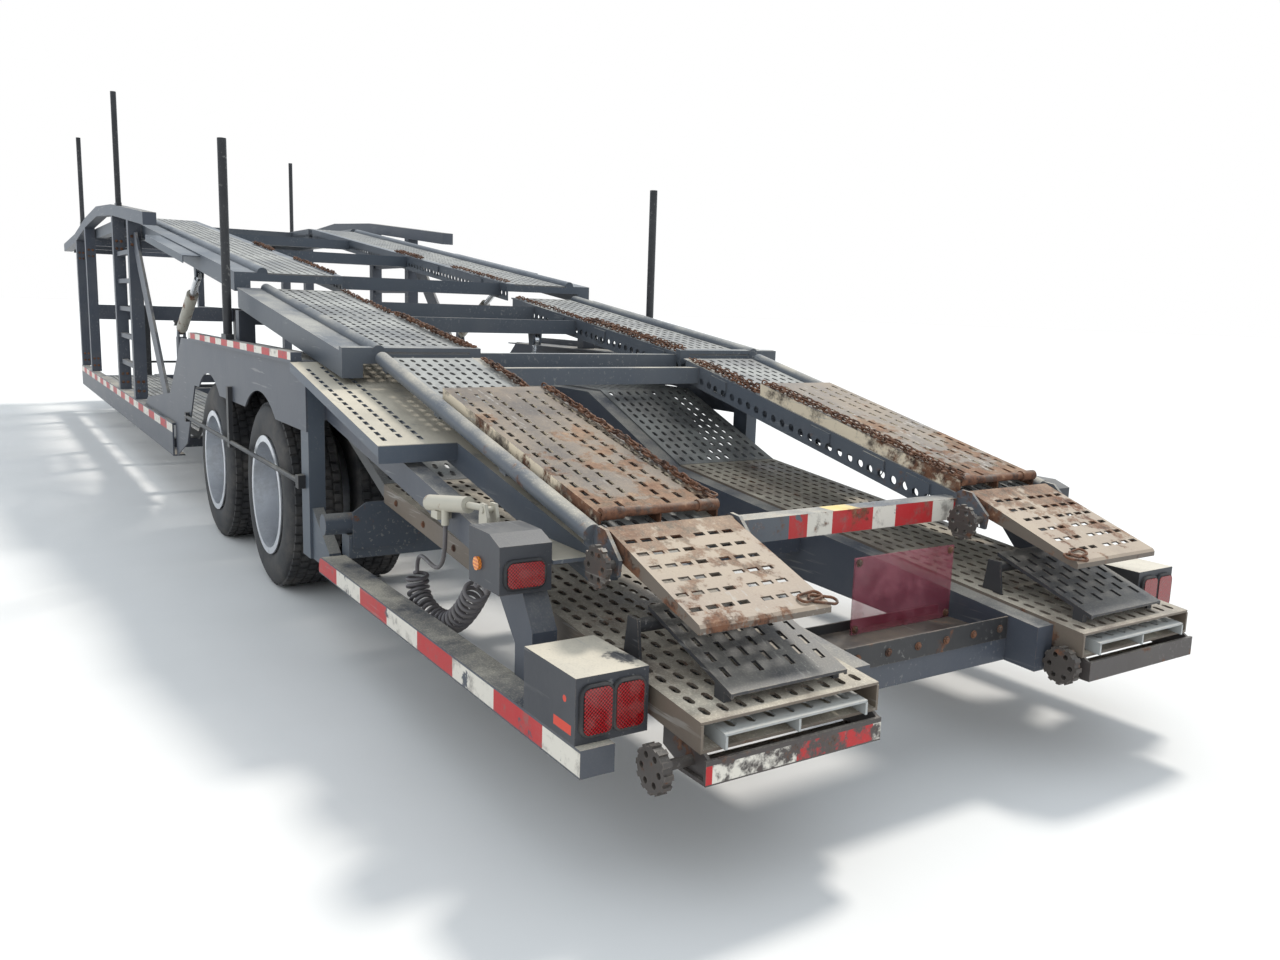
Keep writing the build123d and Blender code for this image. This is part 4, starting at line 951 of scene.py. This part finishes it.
t.put(join.inputs[0], t.out("GeometryNodeMergeByDistance", {"Geometry": sheet, "Distance": 0.0002}))
half_down = t.times(size["Thickness"], -0.5)
for sign in (0.5, -0.5):
    end = t.times(t.minus(size["Length"], size["Margin"]), sign)
    edge = t.times(t.minus(size["Width"], size["Margin"]), sign)
    for bar_size, spot in (
        ((size["Margin"], net[1], size["Thickness"]), (end, 0.0, half_down)),
        ((size["Length"], size["Margin"], size["Thickness"]), (0.0, edge, half_down)),
    ):
        bar = t.out("GeometryNodeMeshCube", {"Size": t.vector(*bar_size)})
        moved = {"Geometry": bar, "Translation": t.vector(*spot)}
        t.put(join.inputs[0], t.out("GeometryNodeTransform", moved))
coated = t.out("GeometryNodeSetMaterial", {"Geometry": join.outputs[0], "Material": size["Finish"]})
t.put(result[0], t.out("GeometryNodeRealizeInstances", {0: coated}))
print("panel tree of", len(plate_tree.nodes), "nodes")

# %% Laying panels along a deck
LONGEST_PANEL, PANEL_GAP, PANEL_MARGIN = 1.25, 0.004, 0.016
SHEET, DECK_TRACK = 8, (605, 990)


def panels(line, track, material, thickness=SHEET, drop=0.0, across=0.05, sides=SIDES):
    """Perforated panels of a wheel track that follow (station, height) points."""
    inner, outer = track
    made = []
    for (x0, z0), (x1, z1) in zip(line, line[1:]):
        run = math.hypot(x1 - x0, z1 - z0) / 1000
        count = max(1, round(run / LONGEST_PANEL))
        panel = grow(plate_tree, {
            "Length": run / count - PANEL_GAP, "Width": (outer - inner) / 1000,
            "Thickness": thickness / 1000, "Pitch across": across, "Margin": PANEL_MARGIN,
            "Square": square, "Finish": material,
        })
        panel.transform(Matrix.Rotation(-math.atan2(z1 - z0, x1 - x0), 4, "Y"))
        for i in range(count):
            share = (i + 0.5) / count
            station, height = x0 + (x1 - x0) * share, z0 + (z1 - z0) * share - drop
            for side in sides:
                made.append(moved_to(panel.copy(), place(station, side * (inner + outer) / 2, height)))
    return made


DECKS = [
    # name, line, node, body
    ("tail_deck_tread", TAIL_LINE, "tail_deck_plates", "tail_deck"),
    ("rear_deck_tread", REAR_LINE, "rear_deck_plates", "rear_deck"),
    ("middle_deck_tread", MID_LINE, "mid_deck_plates", "mid_deck"),
    ("front_deck_tread", FRONT_LINE, "front_deck_plates", "trailer"),
]
for name, line, node, body in DECKS:
    piece(name, panels(line, DECK_TRACK, tread_paint), tread_paint, body, [node])

# %% Lower runways, tail boxes and loading ramps
LOWER_LINE = [(2100, 720), (2900, 1030), (5250, 1030), (6300, 460), (12480, 460)]
BOX_LINE = [(-174, 494), (2100, 720)]
RAMP_LINE = [(x, height_at(BOX_LINE, x)) for x in (-195, 1800)]
LOWER_TRACK, LOWER_PITCH, RUNWAY_DEPTH, BOX_DEPTH = (460, 1060), 0.056, 52, 72
LOWER_EDGES = (460, 1060 - SHEET)
RAMP_TRACK, RAMP_PITCH, RAMP_DEPTH, RAMP_EDGES = (520, 1000), 0.058, 34, (520, 756, 992)
RAMP_DROP, RAMP_SHEET = 31.7, 6


def edges(line, places, drop, depth, sides=SIDES):
    """Upright edges of folded sheet under a tread, from each sideways place outwards."""
    return [strip(line, side * y, side * (y + SHEET), drop, depth) for side in sides for y in places]


runway = panels(LOWER_LINE, LOWER_TRACK, tread_paint, across=LOWER_PITCH)
runway += edges(LOWER_LINE, LOWER_EDGES, SHEET, RUNWAY_DEPTH)
piece("lower_runway_tread", runway, tread_paint, "trailer", ["lower_runways"])
boxes = panels(BOX_LINE, LOWER_TRACK, lower_tail_paint, across=LOWER_PITCH)
boxes += edges(BOX_LINE, LOWER_EDGES, SHEET, BOX_DEPTH)
inner, outer = LOWER_EDGES
boxes += [strip(BOX_LINE, side * (inner + SHEET), side * outer, BOX_DEPTH, SHEET) for side in SIDES]
piece("lower_tail_tread", boxes, lower_tail_paint, "trailer", ["lower_tails"])
for hand, side in HANDS:
    node = f"loading_ramp_{hand}"
    ramp = panels(RAMP_LINE, RAMP_TRACK, zinc, RAMP_SHEET, RAMP_DROP, RAMP_PITCH, sides=(side,))
    ramp += edges(RAMP_LINE, RAMP_EDGES, RAMP_DROP + RAMP_SHEET, RAMP_DEPTH, sides=(side,))
    piece(f"loading_ramp_tread_{hand}", ramp, zinc, node, [node])

# %% [markdown]
# Chains
#
# Loose tie-down chains lie in heaps along the inner flanges of the tail, rear and middle decks. A
# tree walks along a curve at the pitch of the links, puts one link at each step, and rolls every other
# link a quarter turn, as in a real chain. The curves wander by a fixed seed, so that each heap looks
# dropped.


# %% One link, and the tree that strings it along a curve
LINK_LENGTH, LINK_WIDTH, WIRE, LINK_PITCH = 0.044, 0.026, 0.0070, 0.0297


def torus_link(half_length, half_width, wire, around=10, section=6):
    """Closed link: an oval path with a round section."""
    up = Vector((0.0, 0.0, 1.0))
    rings = []
    for angle in turns(around):
        outward = Vector((math.cos(angle), math.sin(angle), 0.0))
        along = 0.0 if abs(outward.x) < 0.01 else math.copysign(half_length - half_width, outward.x)
        middle = half_width * outward + Vector((along, 0.0, 0.0))
        sides = [math.cos(turn) * outward + math.sin(turn) * up for turn in turns(section)]
        rings.append([middle + wire * side for side in sides])
    mesh = skin("link", rings, looped=True)
    mesh.flip_normals()
    return mesh


link = pattern("link", torus_link(LINK_LENGTH / 2 - WIRE / 2, LINK_WIDTH / 2 - WIRE / 2, WIRE / 2))

chain_tree, t, ask, result = new_mesh_tree("Chain along a curve", [
    ("Path", OBJECT, None), ("Pitch", FLOAT, 0.03), ("Link", OBJECT, None), ("Tilt", FLOAT, 0.5),
    ("Seed", INTEGER, 3), ("Finish", MATERIAL, None),
])
path = {"Curve": shape_of(t, ask["Path"]), "Length": ask["Pitch"]}
even_steps = t.out("GeometryNodeResampleCurve", path, mode="LENGTH")
spots = t.node("GeometryNodeCurveToPoints", {"Curve": even_steps}, mode="EVALUATED")
odd = t.math("MODULO", t.out("GeometryNodeInputIndex"), 2.0)
loose = t.node("FunctionNodeRandomValue", {"Seed": ask["Seed"], 2: -1.0, 3: 1.0}, data_type="FLOAT")
roll = t.plus(t.times(odd, math.pi / 2), t.times(loose.outputs[1], ask["Tilt"]))
aimed = t.out("FunctionNodeAlignRotationToVector", {"Vector": spots.outputs["Tangent"]}, axis="X")
spin = t.out("FunctionNodeAxisAngleToRotation", {"Axis": (1.0, 0.0, 0.0), "Angle": roll})
turned = t.out("FunctionNodeRotateRotation", {0: aimed, 1: spin}, rotation_space="LOCAL")
repeat(t, result, spots.outputs[0], ask["Link"], turned, ask["Finish"])
print("chain tree of", len(chain_tree.nodes), "nodes")


# %% Laying the chains
BEND_LENGTH, SWAY, BUMP = 0.07, 0.009, 0.007
LOWEST_STRAND, STRAND_RISE, STRAND_SPREAD, STRAND_SHORTER = 9, 7, 9, 60
RAISED = ((450.0, 890.0), (1630.0, 1160.0))
CHAINS = [
    # piece, body, replaced nodes, [(line, first station, last station, sideways place, strands)]
    ("tail_chain_heap", "tail_deck", ["tail_chains"],
     [(RAISED, 470, 1610, 572, 2), (TAIL_LINE, 1650, 2190, 577, 3)]),
    ("rear_chain_heap", "rear_deck", ["rear_chains"],
     [(REAR_LINE, 2300, 3330, 577, 3), (REAR_LINE, 3360, 4200, 580, 1)]),
    ("middle_chain_heap", "mid_deck", [],
     [(MID_LINE, 4360, 5300, 577, 1), (MID_LINE, 5900, 6500, 577, 2)]),
]


def wander(points, seed):
    """Points between the given ones, pushed aside at random, so that a chain lies as it fell."""
    dice = random.Random(seed)
    laid = []
    for one, other in zip(points, points[1:]):
        count = max(1, round((other - one).length / BEND_LENGTH))
        for i in range(count):
            at = one.lerp(other, i / count)
            laid.append(at + Vector((0.0, dice.uniform(-SWAY, SWAY), dice.uniform(0.0, BUMP))))
    laid.append(points[-1])
    return laid


def chain(points, seed):
    """Mesh of one chain along points."""
    line = nurbs_line("chain path", points, resolution=6)
    made = grow(chain_tree, {
        "Path": line, "Pitch": LINK_PITCH, "Link": link, "Tilt": 0.5, "Seed": seed, "Finish": rusty_steel,
    })
    bpy.data.objects.remove(line)
    return made


for name, body, replaced, runs in CHAINS:
    meshes = []
    for side in SIDES:
        for number, (line, low, high, y, strands) in enumerate(runs):
            for strand in range(strands):
                lift = LOWEST_STRAND + STRAND_RISE * strand
                across = side * (y + STRAND_SPREAD * (strand - (strands - 1) / 2))
                stations = (low, high - STRAND_SHORTER * strand)
                ends = [place(x, across, height_at(line, x) + lift) for x in stations]
                seed = 10 * number + strand + (100 if side < 0 else 0)
                meshes.append(chain(wander(ends, seed), seed))
    piece(name, meshes, rusty_steel, body, replaced, smooth=True)

# %% [markdown]
# Tyres and wheels
#
# Each tyre is one profile spun round its axle, with rings of tread blocks set into it by a tree that
# puts one block at every point of a circle. The same tree puts the nuts on the rims.

# %% The tree that repeats a shape round an axle
ring_tree, t, ask, result = new_mesh_tree("Ring of pieces", [
    ("Count", INTEGER, 40), ("Radius", FLOAT, 0.4), ("Shape", OBJECT, None), ("Offset", FLOAT, 0.0),
    ("Turn", FLOAT, 0.0), ("Finish", MATERIAL, None),
])
number = t.out("GeometryNodeInputIndex")
angle = t.plus(t.times(t.math("DIVIDE", number, ask["Count"]), 2 * math.pi), ask["Turn"])
x, z = (t.times(t.math(part, angle), ask["Radius"]) for part in ("COSINE", "SINE"))
dots = t.out("GeometryNodeMeshLine", {"Count": ask["Count"]})
spots = {"Geometry": dots, "Position": t.vector(x, ask["Offset"], z)}
ringed = t.out("GeometryNodeSetPosition", spots)
facing = t.out("FunctionNodeAxisAngleToRotation", {"Axis": (0.0, -1.0, 0.0), "Angle": angle})
repeat(t, result, ringed, ask["Shape"], facing, ask["Finish"])


def block_mesh(name, half, taper=0.85):
    """Block with its outer end, towards +X, a little smaller."""
    hx, hy, hz = half
    rings = []
    for x, share in ((-hx, 1.0), (hx, taper)):
        y, z = hy * share, hz * share
        rings.append([(x, -y, -z), (x, y, -z), (x, y, z), (x, -y, z)])
    return outwards(skin(name, rings, foot=True, head=True))


def spun(profile, segments=72):
    """Closed (radius, sideways) profile in metres, spun round the Y axis."""
    rings = []
    for angle in turns(segments):
        rings.append([(r * math.cos(angle), y, r * math.sin(angle)) for r, y in profile])
    return outwards(skin("spun", rings, looped=True))


print("ring tree of", len(ring_tree.nodes), "nodes")

# %% Tyres with tread blocks
TYRE_SIDE = [
    # radius, distance from the middle of the tyre
    (0.2908, 0.104), (0.302, 0.124), (0.330, 0.134), (0.368, 0.139), (0.400, 0.137), (0.432, 0.131),
    (0.452, 0.123), (0.462, 0.111), (0.465, 0.06),
]
TYRE_PROFILE = [(r, -y) for r, y in TYRE_SIDE] + TYRE_SIDE[::-1]
rib_block = pattern("rib block", block_mesh("rib block", (0.0062, 0.0205, 0.0185)))
shoulder_block = pattern("shoulder block", block_mesh("shoulder block", (0.0062, 0.0170, 0.0205)))
TREAD = [
    # sideways place, turn in steps, pattern
    (-0.094, 0.0, shoulder_block),
    (-0.048, 0.5, rib_block),
    (0.0, 0.0, rib_block),
    (0.048, 0.5, rib_block),
    (0.094, 0.0, shoulder_block),
]
BLOCKS, BLOCK_RADIUS = 60, 0.4686
TYRE_PLACES, AXLE_HEIGHT = (1110, 780), 475
AXLES = (("rear", 3370), ("front", 4680))
WHEELS = [(f"{axle}_{hand}", station, side) for axle, station in AXLES for hand, side in HANDS]
rings = []
for offset, turn, shape in TREAD:
    rings.append(grow(ring_tree, {
        "Count": BLOCKS, "Radius": BLOCK_RADIUS, "Shape": shape, "Offset": offset,
        "Turn": turn * 2 * math.pi / BLOCKS, "Finish": tyre_rubber,
    }))
tyre = joined("tyre", [spun(TYRE_PROFILE), *rings])
for wheel, station, side in WHEELS:
    meshes = [moved_to(tyre.copy(), place(station, side * y, AXLE_HEIGHT)) for y in TYRE_PLACES]
    piece(f"tyre_tread_{wheel}", meshes, tyre_rubber, f"wheels_{wheel}", [f"tyres_{wheel}"],
          smooth=True)


# %% Wheel nuts
def circle(x, radius, count):
    """Points of a circle round the X axis."""
    return [(x, radius * math.cos(angle), radius * math.sin(angle)) for angle in turns(count)]


def bolt_shape(radius, height, washer):
    """Hexagonal head or nut along +X from its foot, with a round washer under it."""
    rings = [circle(x, r, 6) for x, r in ((0.0, radius), (height * 0.8, radius), (height, radius * 0.8))]
    disc = [circle(x, washer, 12) for x in (0.0, 0.003)]
    return joined("bolt shape", [skin("hexagon", rings, head=True), skin("washer", disc, head=True)])


nut = pattern("wheel nut", bolt_shape(0.016, 0.022, 0.021))
nut.data.transform(Matrix.Rotation(math.radians(90), 4, "Z"))
NUTS, NUT_CIRCLE, FIRST_NUT, RIM_FACE = 10, 0.143, 0.2, 971
for wheel, station, side in WHEELS:
    ring = grow(ring_tree, {
        "Count": NUTS, "Radius": NUT_CIRCLE, "Shape": nut, "Offset": 0.0, "Turn": FIRST_NUT, "Finish": forged,
    })
    if side < 0:
        ring.transform(Matrix.Rotation(math.pi, 4, "Z"))
    moved_to(ring, place(station, side * RIM_FACE, AXLE_HEIGHT))
    piece(f"wheel_nuts_{wheel}", [ring], forged, f"wheels_{wheel}")

# %% [markdown]
# Lamp surrounds, bolts and small rusty fittings
#
# The lamps sit in thick rubber surrounds. Bolt heads come from one more tree, which reads from each
# point the direction in which its bolt looks.

# %% Rubber surrounds of the lamps
LENSES = [
    # station of the box's rear face, sideways from, to, height from, to
    (30, 1102, 1182, 432, 552),
    (30, 1196, 1276, 432, 552),
    (490, 1150, 1265, 690, 762),
]
LENS_CORNER = 20
RUBBER_SECTION = [
    # distance outside the lens, distance behind the box
    (10.0, 0.0), (9.0, 9.0), (4.0, 13.0), (-1.0, 11.0), (-1.5, 0.0),
]


def rounded(y0, y1, z0, z1, radius, steps=5):
    """Points of a rectangle with round corners, as (sideways, height)."""
    points = []
    for cy, cz, start in ((y1 - radius, z1 - radius, 0), (y0 + radius, z1 - radius, 90),
                          (y0 + radius, z0 + radius, 180), (y1 - radius, z0 + radius, 270)):
        for i in range(steps + 1):
            angle = math.radians(start + 90 * i / steps)
            points.append((cy + radius * math.cos(angle), cz + radius * math.sin(angle)))
    return points


def surround(station, y0, y1, z0, z1, side):
    """Rubber frame round one lens."""
    rings = []
    for wider, proud in RUBBER_SECTION:
        outline = rounded(y0 - wider, y1 + wider, z0 - wider, z1 + wider, LENS_CORNER + wider)
        rings.append([place(station - proud, side * y, z) for y, z in outline])
    mesh = skin("surround", rings)
    if side < 0:
        mesh.flip_normals()
    return mesh


surrounds = [surround(*row, side) for row in LENSES for side in SIDES]
piece("lamp_surrounds", surrounds, tyre_rubber, "trailer", smooth=True)

# %% The tree for bolt heads, and where they go
bolt_tree, t, ask, result = new_mesh_tree("Bolt heads", [("Head", OBJECT, None), ("Finish", MATERIAL, None)])
aim = t.out("GeometryNodeInputNamedAttribute", {0: "aim"}, data_type="FLOAT_VECTOR")
turned = t.out("FunctionNodeAlignRotationToVector", {"Vector": aim}, axis="X")
dots = t.out("GeometryNodeMeshToPoints", {"Mesh": ask["Geometry"]})
repeat(t, result, dots, ask["Head"], turned, ask["Finish"])

bolt_head = pattern("bolt head", bolt_shape(0.0095, 0.008, 0.0135))
REARWARD, OUTWARD = Vector((-1.0, 0.0, 0.0)), Vector((0.0, 1.0, 0.0))
BOX_SIDE, BOX_BOLT_DROP = 1060, 42
PANEL_BOLTS = [(296, y, z) for y in (-350, 88) for z in (456, 682)]
TRAY_BOLTS = [(50, y, 468) for y in (-330, -200, -70, 60, 190, 320)]
TOWERS, HEIGHTS = (7880, 8950, 11560, 12700), (640, 720, 1890, 1960)
TOWER_BOLTS = [(station, y, z) for station in TOWERS for z in HEIGHTS for y in (1222, 1262)]
BOX_BOLTS = [(x, BOX_SIDE, height_at(BOX_LINE, x) - BOX_BOLT_DROP) for x in range(150, 2100, 300)]
bolts = [(place(*spot), REARWARD) for spot in PANEL_BOLTS + TRAY_BOLTS]
for side in SIDES:
    bolts += [(place(x, side * y, z), side * OUTWARD) for x, y, z in BOX_BOLTS]
    bolts += [(place(x, side * y, z), REARWARD) for x, y, z in TOWER_BOLTS]
spots = mesh_from("bolt spots", [spot for spot, aim in bolts], [])
direction = spots.attributes.new("aim", "FLOAT_VECTOR", "POINT")
direction.data.foreach_set("vector", [part for spot, aim in bolts for part in aim])
heads = grow(bolt_tree, {"Head": bolt_head, "Finish": rusty_steel}, spots)
piece("bolt_heads", [heads], rusty_steel, "trailer")

# %% Wire hooks on the ramps
HOOK_HALF_LENGTH, HOOK_HALF_WIDTH, HOOK_WIRE, HOOK_LEAN = 0.042, 0.017, 0.0042, -19
HOOKS = [
    # station, sideways place, height, turn in degrees
    (-30, 600, 716, 8),
    (-46, 566, 708, -24),
]
for hand, side in HANDS:
    hooks = []
    for station, y, z, turn in HOOKS:
        hook = torus_link(HOOK_HALF_LENGTH, HOOK_HALF_WIDTH, HOOK_WIRE, around=14)
        hook.transform(Matrix.Rotation(math.radians(90 + turn), 4, "Z"))
        hook.transform(Matrix.Rotation(math.radians(HOOK_LEAN), 4, "Y"))
        hooks.append(moved_to(hook, place(station, side * y, z)))
    piece(f"wire_hooks_{hand}", hooks, rusty_steel, f"flip_ramp_{hand}", smooth=True)

# %% Rusty hinge tubes at the ends of the raised plates
TUBE_RADIUS, SLEEVE_RADIUS, TUBE_BORE = 0.014, 0.019, 0.008
TUBE_ENDS, SLEEVE_LENGTH, TUBE_PLACE = (0.566, 0.984), 0.075, place(453, 0, 887)
half_profile = []
for end, inwards in zip(TUBE_ENDS, (1, -1)):
    neck = end + inwards * SLEEVE_LENGTH
    half_profile.append([(TUBE_BORE, end), (SLEEVE_RADIUS, end), (SLEEVE_RADIUS, neck), (TUBE_RADIUS, neck)])
tube_profile = half_profile[0] + half_profile[1][::-1]
tubes = []
for side in SIDES:
    tube = spun([(radius, side * y) for radius, y in tube_profile], segments=28)
    tubes.append(moved_to(tube, TUBE_PLACE))
piece("hinge_tubes", tubes, rusty_steel, "tail_deck")

# %% [markdown]
# Floor, sky and light
#
# A plain pale floor and a soft sky keep the eye on the trailer. The sun stands high on the far side,
# so that treads and rails are bright on top and the near sides lie in shade.

# %% Floor
FLOOR_SIZE = 400.0
lowest = cad_box[0][2]
bpy.ops.mesh.primitive_plane_add(size=FLOOR_SIZE, location=(0.0, 0.0, lowest))
floor = bpy.context.object
floor.name = "floor"
floor_finish, t, where, shader = finish("floor finish")
t.fill(shader, {
    "Base Color": t.mix(t.noise(where, 1.5, 6.0), rgb(214, 213, 210), rgb(224, 223, 221)), "Roughness": 0.9,
})
floor.data.materials.append(floor_finish)
print("floor at", round(lowest, 3))

# %% Sky and sun
SKY_STRENGTH = 1.15
SUN_STRENGTH, SUN_WIDTH, SUN_DIRECTION = 2.3, math.radians(9), Vector((0.30, -0.50, 0.80))

world = bpy.data.worlds.new("sky")
bpy.context.scene.world = world
world.use_nodes = True
world.node_tree.nodes.clear()
t = Tree(world.node_tree)
soft = t.out("ShaderNodeBackground", {"Color": (0.86, 0.93, 1.0, 1.0), "Strength": SKY_STRENGTH})
plain = t.out("ShaderNodeBackground", {"Color": (1.0, 1.0, 1.0, 1.0), "Strength": 1.0})
seen = t.node("ShaderNodeLightPath").outputs["Is Camera Ray"]
t.node("ShaderNodeOutputWorld", {0: t.out("ShaderNodeMixShader", {0: seen, 1: soft, 2: plain})})

sun_data = bpy.data.lights.new("sun", "SUN")
sun_data.energy = SUN_STRENGTH
sun_data.angle = SUN_WIDTH
sun_data.color = (1.0, 0.96, 0.9)
sun = linked("sun", sun_data)
sun.rotation_euler = SUN_DIRECTION.to_track_quat("Z", "Y").to_euler()
bpy.context.scene.view_settings.view_transform = "Standard"
print("sky and sun ready")

# %% [markdown]
# The end
#
# The shapes that the trees repeat are removed, and the box of the drawn model is printed.
# The dressed model has to stay inside the box of the drawn one.

# %% Sizes and end
for shape in patterns:
    bpy.data.objects.remove(shape)
print("drawn box", [[round(v, 4) for v in corner] for corner in cad_box])
